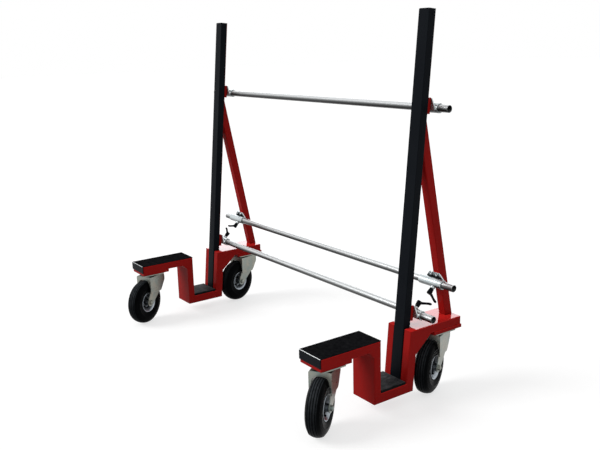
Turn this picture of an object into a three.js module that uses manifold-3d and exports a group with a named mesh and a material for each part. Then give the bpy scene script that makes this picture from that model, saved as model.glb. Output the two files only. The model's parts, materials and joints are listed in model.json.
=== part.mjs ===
// Sheet goods cart: two stepped side frames on swivel casters, joined by three clamped tubes.
// Millimetres. X runs along the cart, Y from front to back, Z up from the floor.

import * as THREE from 'three';
import { mergeVertices } from 'three/addons/utils/BufferGeometryUtils.js';
import Module from 'manifold-3d';

const wasm = await Module();
wasm.setup();

// Side frames
const BEAM_WIDTH = 136;
const BEAM_DEPTH = 36;
const BEAM_EDGE_RADIUS = 3;
const LEG_DEPTH = 34;
const CHANNEL_FRONT_Y = -25;
const CHANNEL_WIDTH = 137;
const CHANNEL_DROP = 262;
const FLOOR_DEPTH = 42;
const RISER_DEPTH = 41;
const ARM_CORNER_CHAMFER = 26;
const REAR_GUSSET_HEIGHT = 72;
const REAR_GUSSET_LENGTH = 85;
const CASTER_PAD_THICKNESS = 15;
const WELD_LAP = 0.5;
const FRONT_PAD_LENGTH = 148;
const REAR_PAD_LENGTH = 160;
const REAR_PAD_OVERHANG = 6;

// Rubber and plastic covers
const ARM_PAD_THICKNESS = 3;
const END_CAP_THICKNESS = 4;
const END_CAP_EDGE = 2;
const MAT_THICKNESS = 12;
const MAT_EDGE = 2;
const MAT_REAR_GAP = 2;

// Posts and braces
const POST_LEAN_DEG = 5.6;
const POST_TOP_RISE = 1251;
const POST_WIDTH = 50;
const POST_DEPTH = 35;
const POST_WALL = 3;
const COVER_WALL = 3;
const COVER_WRAP = 31;
const POST_SLOT_GAP = 3;
const BRACE_WIDTH = 40;
const BRACE_DEPTH = 40;
const BRACE_FOOT_INSET = 2;
const BRACE_TOP_GAP = 4;
const BRACE_SEAT_DEPTH = 7;

// Brackets that carry the sleeves
const BRACKET_DEPTH = 13;
const BRACKET_WALL = 4;
const BRACKET_ABOVE_TUBE = 39;
const BRACKET_BELOW_TUBE = 25;

// Tubes and sleeves
const TUBE_RADIUS = 15;
const TUBE_WALL = 2.5;
const TUBE_LENGTH = 1800;
const TUBE_OVERHANG = 120;
const UPPER_TUBE_RISE = 875;
const MIDDLE_TUBE_RISE = 155;
const LOWER_TUBE_RISE = 45.5;
const UPPER_TUBE_SHIFT = -16;
const MIDDLE_TUBE_SHIFT = 2;
const LOWER_TUBE_SHIFT = -3;
const SLEEVE_WALL = 4;
const POST_SLEEVE_LENGTH = 110;
const BRACE_SLEEVE_LENGTH = 127;
const FLANGE_THICKNESS = 5;
const FLANGE_ABOVE_TUBE = 37;
const FLANGE_BELOW_TUBE = 10;
const FLANGE_TOP_WIDTH = 54;
const FLANGE_END_INSET = 8;

// Clamp levers
const CLAMP_ANGLE_DEG = 45;
const MIDDLE_LEVER_X = 20;
const LOWER_LEVER_X = 0;
const SCREW_RADIUS = 5;
const SCREW_BOSS_RADIUS = 10;
const SCREW_BOSS_HEIGHT = 8;
const SCREW_GRIP = 15;
const LEVER_STANDOFF = 2.5;
const HUB_RADIUS = 11;
const HUB_HEIGHT = 26;
const LEVER_REACH = 63;
const LEVER_RISE = 8;
const LEVER_ARM_WIDTH = 11;
const LEVER_ARM_DEPTH = 10;

// Casters
const WHEEL_RADIUS = 115;
const TYRE_WIDTH = 65;
const TREAD_WIDTH = 27;
const SHOULDER_DROP = 5;
const SHOULDER_WIDTH = 43;
const WALL_TOP_DROP = 15;
const WALL_TOP_WIDTH = 57;
const WALL_WIDEST_DROP = 32;
const BEAD_RISE = 4;
const BEAD_WIDTH = 57;
const TREAD_GROOVE_DEPTH = 2.5;
const TREAD_GROOVE_WIDTH = 3.5;
const TREAD_RIB_PITCH = 10;
const RIM_RADIUS = 52;
const RIM_WELL_RADIUS = 38;
const RIM_WIDTH = 52;
const RIM_WALL = 3;
const RIM_LIP = 2.4;
const HUB_TUBE_RADIUS = 16;
const HUB_TUBE_LENGTH = 72;
const BEARING_RADIUS = 11.5;
const AXLE_RADIUS = 6;
const AXLE_HEX_RADIUS = 11;
const AXLE_HEX_HEIGHT = 7.5;
const CASTER_TRAIL = 60;
const FORK_WIDTH = 92;
const FORK_SHEET = 4;
const FORK_STEP = 3;
const FORK_SETBACK = 5;
const FORK_REAR = 126;
const CHEEK_RISE = 45;
const CHEEK_HEEL = 90;
const CHEEK_SWEEP = 51;
const CHEEK_SHOULDER = 27;
const CHEEK_CORNER = 9;
const LUG_RADIUS = 20;
const LUG_LAP = 13;
const LUG_HEEL = 97;
const LUG_TANGENT_DEG = 52;
const LUG_SEGMENTS = 16;
const FORK_LIP_DROP = 58;
const LIP_CLEARANCE = 3;
const TYRE_TOP_CLEARANCE = 18;
const RACE_HEIGHT = 8;
const RACE_RADIUS = 36;
const KING_PIN_RADIUS = 8;
const KING_NUT_RADIUS = 11;
const KING_NUT_HEIGHT = 4;
const TOP_PLATE_THICKNESS = 5;
const TOP_PLATE_WIDTH = 134;
const TOP_PLATE_LENGTH = 108;
const FRONT_SWIVEL_INSET = 64;
const REAR_SWIVEL_INSET = 85;
const FRONT_SWIVEL_CLEARANCE = 18;
const REAR_SWIVEL_CLEARANCE = 4;
const SWIVEL_DEG = { front_left: 27, rear_left: 16, front_right: 35.5, rear_right: 24 };

// Clearance between pieces that touch, and facet counts
const SEAT_GAP = 0.3;
const BORE_GAP = 0.4;
const WHEEL_FACETS = 22;
const TUBE_FACETS = 20;
const SMALL_FACETS = 12;

// Heights that follow from the casters and the beam
const AXLE_HEIGHT = WHEEL_RADIUS;
const TREAD_RADIUS = WHEEL_RADIUS / Math.cos(Math.PI / WHEEL_FACETS);
const CROWN_BOTTOM = AXLE_HEIGHT + TREAD_RADIUS + TYRE_TOP_CLEARANCE;
const CROWN_TOP = CROWN_BOTTOM + FORK_SHEET;
const TOP_PLATE_BOTTOM = CROWN_TOP + RACE_HEIGHT;
const CASTER_HEIGHT = TOP_PLATE_BOTTOM + TOP_PLATE_THICKNESS;
const BEAM_UNDERSIDE = CASTER_HEIGHT + CASTER_PAD_THICKNESS;
const DECK_HEIGHT = BEAM_UNDERSIDE + BEAM_DEPTH;
const CHANNEL_UNDERSIDE = DECK_HEIGHT - CHANNEL_DROP;
const FLOOR_TOP = CHANNEL_UNDERSIDE + FLOOR_DEPTH;
const MAT_TOP = FLOOR_TOP + MAT_THICKNESS;
const POST_TOP = DECK_HEIGHT + POST_TOP_RISE;

// Leaning planes of the riser and the post, as Y at a height
const LEAN = THREE.MathUtils.degToRad(POST_LEAN_DEG);
const riserFrontAt = (z) => CHANNEL_FRONT_Y + CHANNEL_WIDTH + (z - MAT_TOP) * Math.tan(LEAN);
const riserRearAt = (z) => riserFrontAt(z) + RISER_DEPTH / Math.cos(LEAN);
const postRearAt = (z) => riserFrontAt(z) + POST_DEPTH / Math.cos(LEAN);

// Radius and half width of the tyre at stations from tread to bead
const TYRE_SECTION = [
  [TREAD_RADIUS, TREAD_WIDTH / 2],
  [TREAD_RADIUS - SHOULDER_DROP, SHOULDER_WIDTH / 2],
  [TREAD_RADIUS - WALL_TOP_DROP, WALL_TOP_WIDTH / 2],
  [TREAD_RADIUS - WALL_WIDEST_DROP, TYRE_WIDTH / 2],
  [RIM_RADIUS + BEAD_RISE, BEAD_WIDTH / 2],
];

// Places along X of the two frames on the tubes
const UNIT_SPACING = TUBE_LENGTH - 2 * TUBE_OVERHANG;

// Places along Y that leave room for a caster to swivel
const SWEPT_RADIUS = Math.max(...TYRE_SECTION.map(([r, w]) => Math.hypot(CASTER_TRAIL + r, w)));
const LEG_FRONT_Y = CHANNEL_FRONT_Y - LEG_DEPTH;
const FRONT_SWIVEL_Y = LEG_FRONT_Y - FRONT_SWIVEL_CLEARANCE - SWEPT_RADIUS;
const ARM_FRONT_Y = FRONT_SWIVEL_Y - FRONT_SWIVEL_INSET;
const REAR_SWIVEL_Y = riserRearAt(AXLE_HEIGHT) + REAR_SWIVEL_CLEARANCE + SWEPT_RADIUS;
const PLATFORM_REAR_Y = REAR_SWIVEL_Y + REAR_SWIVEL_INSET;

// Sleeve and tube places
const SLEEVE_BORE = TUBE_RADIUS + BORE_GAP;
const SLEEVE_RADIUS = SLEEVE_BORE + SLEEVE_WALL;
const FLANGE_FRONT = SLEEVE_BORE + SLEEVE_WALL / 2;
const FLANGE_BACK = FLANGE_FRONT + FLANGE_THICKNESS;
const UPPER_TUBE_Z = DECK_HEIGHT + UPPER_TUBE_RISE;
const MIDDLE_TUBE_Z = DECK_HEIGHT + MIDDLE_TUBE_RISE;
const LOWER_TUBE_Z = DECK_HEIGHT + LOWER_TUBE_RISE;
const POST_TUBE_OFFSET = SEAT_GAP + BRACKET_DEPTH + SEAT_GAP + FLANGE_BACK;
const BRACE_TUBE_OFFSET = BRACE_SEAT_DEPTH + SEAT_GAP + FLANGE_BACK;
const postTubeYAt = (z) => postRearAt(z) + POST_TUBE_OFFSET / Math.cos(LEAN);

// The brace runs from the platform's rear edge to just below the upper bracket
const BRACE_FOOT_Y = PLATFORM_REAR_Y - BRACE_FOOT_INSET;
const BRACE_TOP_Z = UPPER_TUBE_Z - BRACKET_BELOW_TUBE - BRACE_TOP_GAP;
const BRACE_LEAN = Math.atan((BRACE_FOOT_Y - postRearAt(BRACE_TOP_Z)) / (BRACE_TOP_Z - DECK_HEIGHT));
const braceRearAt = (z) => BRACE_FOOT_Y - (z - DECK_HEIGHT) * Math.tan(BRACE_LEAN);
const braceFrontAt = (z) => braceRearAt(z) - BRACE_DEPTH / Math.cos(BRACE_LEAN);
const MIDDLE_TUBE_Y = braceFrontAt(MIDDLE_TUBE_Z) - BRACE_TUBE_OFFSET / Math.cos(BRACE_LEAN);

// Materials
const finish = (color, roughness, metalness) => () =>
  new THREE.MeshStandardMaterial({ color, roughness, metalness });
const redPaint = finish(0x8c0f10, 0.25, 0.1);
const blackRubber = finish(0x17191c, 0.65, 0);
const blackPlastic = finish(0x121417, 0.45, 0);
const greyMat = finish(0x3a3f43, 0.7, 0);
const zincPlate = finish(0xb9bec0, 0.35, 0.9);
const brightZinc = finish(0xd4dadc, 0.3, 0.9);
const galvanised = finish(0x9a9c9b, 0.4, 0.9);
const tyreRubber = finish(0x141516, 0.8, 0);

// Solid modelling helpers

function toSolid(geometry) {
  const bare = geometry.clone();
  bare.deleteAttribute('normal');
  bare.deleteAttribute('uv');
  const merged = mergeVertices(bare, 1e-4);
  const corners = merged.index.array;
  const kept = [];
  for (let i = 0; i < corners.length; i += 3) {
    const [a, b, c] = [corners[i], corners[i + 1], corners[i + 2]];
    if (a !== b && b !== c && c !== a) kept.push(a, b, c);
  }
  const vertProperties = new Float32Array(merged.attributes.position.array);
  const triVerts = new Uint32Array(kept);
  return new wasm.Manifold(new wasm.Mesh({ numProp: 3, vertProperties, triVerts }));
}

function toGeometry(solid) {
  const { vertProperties, triVerts } = solid.getMesh();
  const geometry = new THREE.BufferGeometry();
  geometry.setAttribute('position', new THREE.BufferAttribute(vertProperties, 3));
  geometry.setIndex(new THREE.BufferAttribute(triVerts, 1));
  geometry.computeVertexNormals();
  return geometry;
}

function build(base, added = [], removed = []) {
  let solid = toSolid(base);
  for (const geometry of added) solid = solid.add(toSolid(geometry));
  for (const geometry of removed) solid = solid.subtract(toSolid(geometry));
  return toGeometry(solid);
}

const polygon = (points) => new THREE.Shape(points.map(([x, y]) => new THREE.Vector2(x, y)));

// A block between two corners
function block(x0, x1, y0, y1, z0, z1) {
  const geometry = new THREE.BoxGeometry(x1 - x0, y1 - y0, z1 - z0);
  return geometry.translate((x0 + x1) / 2, (y0 + y1) / 2, (z0 + z1) / 2);
}

// A Y-Z outline drawn out along X about the middle, with its edges chamfered by the edge radius
function alongX(shape, width, edge = 0) {
  const geometry = new THREE.ExtrudeGeometry(shape, {
    depth: width - 2 * edge,
    bevelEnabled: edge > 0,
    bevelSize: edge,
    bevelThickness: edge,
    bevelOffset: -edge,
    bevelSegments: 1,
  });
  geometry.translate(0, 0, edge - width / 2);
  const toX = new THREE.Vector3(1, 0, 0);
  const toY = new THREE.Vector3(0, 1, 0);
  const toZ = new THREE.Vector3(0, 0, 1);
  return geometry.applyMatrix4(new THREE.Matrix4().makeBasis(toY, toZ, toX));
}

// An X-Z outline drawn out along Y from y0 to y1
function alongY(shape, y0, y1) {
  const geometry = new THREE.ExtrudeGeometry(shape, { depth: y1 - y0, bevelEnabled: false });
  return geometry.rotateX(Math.PI / 2).translate(0, y1, 0);
}

// An X-Y outline drawn out along Z from z0 to z1
function alongZ(shape, z0, z1) {
  return new THREE.ExtrudeGeometry(shape, { depth: z1 - z0, bevelEnabled: false }).translate(0, 0, z0);
}

// A closed profile of [radius, height] points, counter-clockwise, turned about Z
function turned(profile, facets) {
  const points = profile.map(([r, h]) => new THREE.Vector2(r, h));
  return new THREE.LatheGeometry(points, facets).rotateX(Math.PI / 2);
}

const ring = (inner, outer, z0, z1, facets) =>
  turned([[inner, z0], [outer, z0], [outer, z1], [inner, z1], [inner, z0]], facets);

function rod(radius, z0, z1, facets) {
  const geometry = new THREE.CylinderGeometry(radius, radius, z1 - z0, facets);
  return geometry.rotateX(Math.PI / 2).translate(0, 0, (z0 + z1) / 2);
}

const axisToX = (geometry) => geometry.rotateY(Math.PI / 2);

function mesh(name, geometry, material) {
  const piece = new THREE.Mesh(geometry, material());
  piece.name = name;
  return piece;
}

// Base frame: the stepped beam with its corner plates, caster pads and post slot

function baseFrameOutline() {
  const rearZ = BEAM_UNDERSIDE - REAR_GUSSET_HEIGHT;
  return polygon([
    [ARM_FRONT_Y, CASTER_HEIGHT],
    [ARM_FRONT_Y + FRONT_PAD_LENGTH, CASTER_HEIGHT],
    [ARM_FRONT_Y + FRONT_PAD_LENGTH, BEAM_UNDERSIDE],
    [LEG_FRONT_Y - ARM_CORNER_CHAMFER, BEAM_UNDERSIDE],
    [LEG_FRONT_Y, BEAM_UNDERSIDE - ARM_CORNER_CHAMFER],
    [LEG_FRONT_Y, CHANNEL_UNDERSIDE],
    [riserRearAt(CHANNEL_UNDERSIDE), CHANNEL_UNDERSIDE],
    [riserRearAt(rearZ), rearZ],
    [riserRearAt(rearZ) + REAR_GUSSET_LENGTH, BEAM_UNDERSIDE],
    [PLATFORM_REAR_Y, BEAM_UNDERSIDE],
    [PLATFORM_REAR_Y, DECK_HEIGHT],
    [riserFrontAt(DECK_HEIGHT), DECK_HEIGHT],
    [riserFrontAt(FLOOR_TOP), FLOOR_TOP],
    [CHANNEL_FRONT_Y, FLOOR_TOP],
    [CHANNEL_FRONT_Y, DECK_HEIGHT],
    [ARM_FRONT_Y, DECK_HEIGHT],
  ]);
}

// The leaning slot that takes the post: open at the front and above the deck
function postSlot() {
  const half = POST_WIDTH / 2 + SEAT_GAP + COVER_WALL + POST_SLOT_GAP;
  const over = DECK_HEIGHT + BEAM_DEPTH;
  const gap = SEAT_GAP / Math.cos(LEAN);
  const outline = polygon([
    [riserFrontAt(FLOOR_TOP) - RISER_DEPTH, FLOOR_TOP],
    [postRearAt(FLOOR_TOP) + gap, FLOOR_TOP],
    [postRearAt(over) + gap, over],
    [riserFrontAt(over) - RISER_DEPTH, over],
  ]);
  return alongX(outline, 2 * half);
}

// The plate welded under the platform, which stands out past its rear edge
function rearPad() {
  const rear = PLATFORM_REAR_Y + REAR_PAD_OVERHANG;
  const front = rear - REAR_PAD_LENGTH;
  const outline = polygon([
    [front, CASTER_HEIGHT],
    [rear, CASTER_HEIGHT],
    [rear, BEAM_UNDERSIDE],
    [front, BEAM_UNDERSIDE],
  ]);
  return alongX(outline, BEAM_WIDTH, BEAM_EDGE_RADIUS / 2);
}

function rearPadWeld() {
  const half = BEAM_WIDTH / 2 - BEAM_EDGE_RADIUS;
  const rear = PLATFORM_REAR_Y - BEAM_EDGE_RADIUS;
  const front = PLATFORM_REAR_Y + REAR_PAD_OVERHANG - REAR_PAD_LENGTH + BEAM_EDGE_RADIUS;
  return block(-half, half, front, rear, BEAM_UNDERSIDE - WELD_LAP, BEAM_UNDERSIDE + WELD_LAP);
}

function baseFrame() {
  const beam = alongX(baseFrameOutline(), BEAM_WIDTH, BEAM_EDGE_RADIUS);
  return build(beam, [rearPadWeld(), rearPad()], [postSlot()]);
}

// Rubber pad on the arm, cap on its front end and mat in the channel

function armPad() {
  const top = DECK_HEIGHT + ARM_PAD_THICKNESS;
  const outline = polygon([
    [ARM_FRONT_Y, DECK_HEIGHT],
    [CHANNEL_FRONT_Y, DECK_HEIGHT],
    [CHANNEL_FRONT_Y, top],
    [ARM_FRONT_Y, top],
  ]);
  return alongX(outline, BEAM_WIDTH, ARM_PAD_THICKNESS / 4);
}

function armEndCap() {
  const back = ARM_FRONT_Y - SEAT_GAP;
  const front = back - END_CAP_THICKNESS;
  const top = DECK_HEIGHT + ARM_PAD_THICKNESS;
  const outline = polygon([
    [front, BEAM_UNDERSIDE],
    [back, BEAM_UNDERSIDE],
    [back, top],
    [front + END_CAP_EDGE, top],
    [front, top - END_CAP_EDGE],
  ]);
  return alongX(outline, BEAM_WIDTH, END_CAP_EDGE / 2);
}

function channelMat() {
  const rear = riserFrontAt(FLOOR_TOP) - SEAT_GAP - COVER_WALL - MAT_REAR_GAP;
  const front = CHANNEL_FRONT_Y + SEAT_GAP;
  const outline = polygon([
    [front, FLOOR_TOP],
    [rear, FLOOR_TOP],
    [rear, MAT_TOP - MAT_EDGE],
    [rear - MAT_EDGE, MAT_TOP],
    [front + MAT_EDGE, MAT_TOP],
    [front, MAT_TOP - MAT_EDGE],
  ]);
  return alongX(outline, BEAM_WIDTH, MAT_EDGE / 2);
}

// Post and its cover, both leaning back and cut level at the foot

const POST_LENGTH = (POST_TOP - FLOOR_TOP) / Math.cos(LEAN) - COVER_WALL - SEAT_GAP;
const FOOT_CUT = POST_DEPTH;

function leanWithPost(geometry) {
  return geometry.rotateX(-LEAN).translate(0, riserFrontAt(FLOOR_TOP), FLOOR_TOP);
}

function belowFloor() {
  const reach = 3 * POST_DEPTH;
  const middle = riserFrontAt(FLOOR_TOP);
  const top = FLOOR_TOP + SEAT_GAP;
  return block(-reach, reach, middle - reach, middle + reach, top - reach, top);
}

function post() {
  const half = POST_WIDTH / 2;
  const outline = polygon([[-half, 0], [half, 0], [half, POST_DEPTH], [-half, POST_DEPTH]]);
  const inner = half - POST_WALL;
  const back = POST_DEPTH - POST_WALL;
  outline.holes.push(polygon([[-inner, POST_WALL], [inner, POST_WALL], [inner, back], [-inner, back]]));
  return build(leanWithPost(alongZ(outline, -FOOT_CUT, POST_LENGTH)), [], [belowFloor()]);
}

function postCover() {
  const inner = POST_WIDTH / 2 + SEAT_GAP;
  const outer = inner + COVER_WALL;
  const front = -SEAT_GAP - COVER_WALL;
  const lidTop = POST_LENGTH + SEAT_GAP + COVER_WALL;
  const outline = polygon([
    [-outer, COVER_WRAP],
    [-outer, front + COVER_WALL / 2],
    [-outer + COVER_WALL / 2, front],
    [outer - COVER_WALL / 2, front],
    [outer, front + COVER_WALL / 2],
    [outer, COVER_WRAP],
    [inner, COVER_WRAP],
    [inner, -SEAT_GAP],
    [-inner, -SEAT_GAP],
    [-inner, COVER_WRAP],
  ]);
  const channel = leanWithPost(alongZ(outline, -FOOT_CUT, lidTop - COVER_WALL / 2));
  const lid = block(-inner, inner, front + COVER_WALL / 2, POST_DEPTH, lidTop - COVER_WALL, lidTop);
  return build(channel, [leanWithPost(lid)], [belowFloor()]);
}

// Brace with its welded seat for the middle sleeve

const braceSeatAt = (z, depth) => braceFrontAt(z) - depth / Math.cos(BRACE_LEAN);

function brace() {
  // Where a line that leans with the brace meets the back of the post
  const meetPost = (yAt) => {
    const gap = SEAT_GAP / Math.cos(LEAN);
    const slope = Math.tan(BRACE_LEAN) + Math.tan(LEAN);
    const z = (yAt(0) - postRearAt(0) - gap) / slope;
    return [yAt(z), z];
  };
  const strut = polygon([
    [braceFrontAt(DECK_HEIGHT), DECK_HEIGHT],
    [BRACE_FOOT_Y, DECK_HEIGHT],
    meetPost(braceRearAt),
    meetPost(braceFrontAt),
  ]);
  const low = MIDDLE_TUBE_Z - BRACKET_BELOW_TUBE;
  const high = MIDDLE_TUBE_Z + BRACKET_ABOVE_TUBE;
  const seat = polygon([
    [braceSeatAt(low, -BRACE_DEPTH / 2), low],
    [braceSeatAt(high, -BRACE_DEPTH / 2), high],
    [braceSeatAt(high, BRACE_SEAT_DEPTH), high],
    [braceSeatAt(low, BRACE_SEAT_DEPTH), low],
  ]);
  const seatBlock = alongX(seat, BRACE_WIDTH - 2 * BEAM_EDGE_RADIUS);
  return build(alongX(strut, BRACE_WIDTH, BEAM_EDGE_RADIUS), [seatBlock]);
}

// Folded spacer on the back of the post, for a sleeve whose tube is at this height

function postBracket(tubeZ) {
  const half = POST_WIDTH / 2;
  const inner = half - BRACKET_WALL;
  const front = POST_DEPTH + SEAT_GAP;
  const back = front + BRACKET_DEPTH;
  const outline = polygon([
    [-half, front],
    [-inner, front],
    [-inner, back - BRACKET_WALL],
    [inner, back - BRACKET_WALL],
    [inner, front],
    [half, front],
    [half, back],
    [-half, back],
  ]);
  const middle = (tubeZ - FLOOR_TOP) / Math.cos(LEAN) + (POST_DEPTH + POST_TUBE_OFFSET) * Math.tan(LEAN);
  return leanWithPost(alongZ(outline, middle - BRACKET_BELOW_TUBE, middle + BRACKET_ABOVE_TUBE));
}

// Sleeve about the origin, along X: flange towards +Y, tilted, with a boss for its clamp screw

function sleeve(length, flangeTurn, tilt, screw) {
  const bore = axisToX(rod(SLEEVE_BORE, -length, length, TUBE_FACETS));
  const shell = axisToX(rod(SLEEVE_RADIUS, -length / 2, length / 2, TUBE_FACETS));
  const low = length / 2 - FLANGE_END_INSET;
  const high = FLANGE_TOP_WIDTH / 2;
  const plate = polygon([
    [-low, -FLANGE_BELOW_TUBE],
    [low, -FLANGE_BELOW_TUBE],
    [low, 0],
    [high, FLANGE_ABOVE_TUBE],
    [-high, FLANGE_ABOVE_TUBE],
    [-low, 0],
  ]);
  const flange = alongY(plate, FLANGE_FRONT, FLANGE_BACK).rotateZ(flangeTurn).rotateX(tilt);
  const added = [flange];
  const removed = [bore];
  if (screw) {
    const boss = rod(SCREW_BOSS_RADIUS, SLEEVE_BORE, SLEEVE_RADIUS + SCREW_BOSS_HEIGHT, 6);
    const hole = rod(SCREW_RADIUS + BORE_GAP, 0, 2 * SLEEVE_RADIUS + SCREW_BOSS_HEIGHT, SMALL_FACETS);
    for (const geometry of [boss, hole]) geometry.rotateX(screw.tilt).translate(screw.x, 0, 0);
    added.push(boss);
    removed.push(hole);
  }
  return build(shell, added, removed);
}

// Clamp screw and lever about the screw's axis, Z pointing away from the tube

const HUB_BOTTOM = SLEEVE_RADIUS + SCREW_BOSS_HEIGHT + LEVER_STANDOFF;

const leverScrew = () => rod(SCREW_RADIUS, TUBE_RADIUS + SEAT_GAP, HUB_BOTTOM + SCREW_GRIP, SMALL_FACETS);

function lever() {
  const top = HUB_BOTTOM + HUB_HEIGHT;
  const taper = HUB_RADIUS / 6;
  const dome = HUB_RADIUS / 4;
  const bore = SCREW_RADIUS + BORE_GAP;
  const hub = turned([
    [0, HUB_BOTTOM + SCREW_GRIP + SEAT_GAP],
    [bore, HUB_BOTTOM + SCREW_GRIP + SEAT_GAP],
    [bore, HUB_BOTTOM],
    [HUB_RADIUS - taper, HUB_BOTTOM],
    [HUB_RADIUS, top - dome],
    [HUB_RADIUS - dome, top],
    [0, top],
  ], SMALL_FACETS);
  const tipRadius = LEVER_ARM_DEPTH / 2;
  const rootZ = top - LEVER_ARM_DEPTH;
  const tipZ = rootZ + LEVER_RISE + tipRadius;
  const tipX = LEVER_REACH - tipRadius;
  const arm = polygon([
    [SCREW_RADIUS, rootZ - LEVER_ARM_DEPTH / 4],
    [HUB_RADIUS * 2, rootZ],
    [tipX, tipZ - tipRadius],
    [LEVER_REACH - tipRadius / 3, tipZ - tipRadius * 2 / 3],
    [LEVER_REACH, tipZ],
    [LEVER_REACH - tipRadius / 3, tipZ + tipRadius * 2 / 3],
    [tipX, tipZ + tipRadius],
    [HUB_RADIUS * 2, top],
    [SCREW_RADIUS, top - dome / 2],
  ]);
  const bar = alongY(arm, -LEVER_ARM_WIDTH / 2, LEVER_ARM_WIDTH / 2);
  const cavity = rod(bore, 0, HUB_BOTTOM + SCREW_GRIP + SEAT_GAP, SMALL_FACETS);
  return build(hub, [bar], [cavity]);
}

// Tubes that join the two frames

function joiningTube() {
  const half = TUBE_LENGTH / 2;
  return axisToX(ring(TUBE_RADIUS - TUBE_WALL, TUBE_RADIUS, -half, half, TUBE_FACETS));
}

// Casters, about the swivel axis: the wheel rolls along Y and its axle lies the trail behind

function swivelPlate() {
  const halfWidth = TOP_PLATE_WIDTH / 2;
  const halfLength = TOP_PLATE_LENGTH / 2;
  const plate = block(-halfWidth, halfWidth, -halfLength, halfLength, TOP_PLATE_BOTTOM, CASTER_HEIGHT);
  const nutTop = CROWN_BOTTOM - SEAT_GAP;
  const race = turned([
    [0, nutTop - KING_NUT_HEIGHT],
    [KING_NUT_RADIUS, nutTop - KING_NUT_HEIGHT],
    [KING_NUT_RADIUS, nutTop],
    [KING_PIN_RADIUS, nutTop],
    [KING_PIN_RADIUS, CROWN_TOP + SEAT_GAP],
    [RACE_RADIUS, CROWN_TOP + SEAT_GAP],
    [RACE_RADIUS, TOP_PLATE_BOTTOM + TOP_PLATE_THICKNESS / 2],
    [0, TOP_PLATE_BOTTOM + TOP_PLATE_THICKNESS / 2],
  ], TUBE_FACETS);
  return build(plate, [race]);
}

// Two cheeks with set-in axle lugs, a crown and an arched front lip
function fork() {
  const outer = FORK_WIDTH / 2;
  const axleY = -CASTER_TRAIL;
  const front = axleY + FORK_SETBACK;
  const rear = axleY + FORK_REAR;
  const lapLow = AXLE_HEIGHT + CHEEK_RISE;
  const lapHigh = lapLow + LUG_LAP;
  const shoulder = CROWN_BOTTOM - CHEEK_SHOULDER;
  const cheek = polygon([
    [front, CROWN_TOP],
    [front, lapLow],
    [axleY + CHEEK_HEEL, lapLow],
    [rear - CHEEK_SHOULDER, shoulder - CHEEK_SWEEP],
    [rear, shoulder - CHEEK_CORNER],
    [rear, shoulder + LUG_LAP],
    [rear - CHEEK_CORNER, CROWN_TOP],
  ]);
  const tangent = THREE.MathUtils.degToRad(LUG_TANGENT_DEG);
  const lug = polygon([
    [axleY + LUG_RADIUS * Math.cos(tangent), AXLE_HEIGHT - LUG_RADIUS * Math.sin(tangent)],
    [axleY + LUG_HEEL, lapHigh],
    [front, lapHigh],
    [axleY - LUG_RADIUS, AXLE_HEIGHT],
  ]);
  const boss = axisToX(rod(LUG_RADIUS, -FORK_SHEET / 2, FORK_SHEET / 2, LUG_SEGMENTS));
  boss.translate(0, axleY, AXLE_HEIGHT);
  // The front lip, arched over the tyre
  const lipLow = CROWN_TOP - FORK_LIP_DROP;
  const arch = TYRE_SECTION.slice(0, 4).map(([r, w]) => [w + LIP_CLEARANCE, AXLE_HEIGHT + r + LIP_CLEARANCE]);
  arch.push([TYRE_WIDTH / 2 + 2 * LIP_CLEARANCE, lipLow]);
  const lipHalf = [...arch, [outer, lipLow], [outer, CROWN_TOP]];
  const lip = polygon([...lipHalf, ...lipHalf.map(([x, z]) => [-x, z]).reverse()]);
  const parts = [alongY(lip, front, front + FORK_SHEET)];
  for (const side of [-1, 1]) {
    const cheekX = side * (outer - FORK_SHEET / 2);
    const lugX = side * (outer - FORK_STEP - FORK_SHEET / 2);
    parts.push(alongX(cheek, FORK_SHEET).translate(cheekX, 0, 0));
    parts.push(alongX(lug, FORK_SHEET).translate(lugX, 0, 0));
    parts.push(boss.clone().translate(lugX, 0, 0));
  }
  const crown = block(-outer, outer, front, rear - CHEEK_CORNER, CROWN_BOTTOM, CROWN_TOP);
  const pinRadius = KING_PIN_RADIUS + BORE_GAP;
  const pinHole = rod(pinRadius, CROWN_BOTTOM - FORK_SHEET, CROWN_TOP + FORK_SHEET, TUBE_FACETS);
  const axleHole = axisToX(rod(AXLE_RADIUS + BORE_GAP, -outer, outer, SMALL_FACETS));
  axleHole.translate(0, axleY, AXLE_HEIGHT);
  return build(crown, parts, [pinHole, axleHole]);
}

function axle() {
  const face = FORK_WIDTH / 2 - FORK_STEP + SEAT_GAP;
  const shank = rod(AXLE_RADIUS, -face - AXLE_HEX_HEIGHT, face + AXLE_HEX_HEIGHT, SMALL_FACETS);
  const head = rod(AXLE_HEX_RADIUS, face, face + AXLE_HEX_HEIGHT, 6);
  const nut = rod(AXLE_HEX_RADIUS, -face - AXLE_HEX_HEIGHT, -face, 6);
  return axisToX(build(shank, [head, nut]));
}

function wheelBearing() {
  const half = FORK_WIDTH / 2 - FORK_STEP - FORK_SHEET - SEAT_GAP;
  return axisToX(ring(AXLE_RADIUS + BORE_GAP, BEARING_RADIUS, -half, half, SMALL_FACETS));
}

// Tyre side of the rim from the well out to the flange, as radius and half width
const RIM_BED = [
  [RIM_WELL_RADIUS, RIM_WIDTH / 4],
  [RIM_RADIUS, RIM_WIDTH / 2],
];

const mirrored = (half) => [...half.map(([r, h]) => [r, -h]).reverse(), ...half];

// A wheel piece turned so that the middle of a facet is lowest
const flatDown = (geometry) => axisToX(geometry).rotateX(Math.PI / 2 + Math.PI / WHEEL_FACETS);

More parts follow.
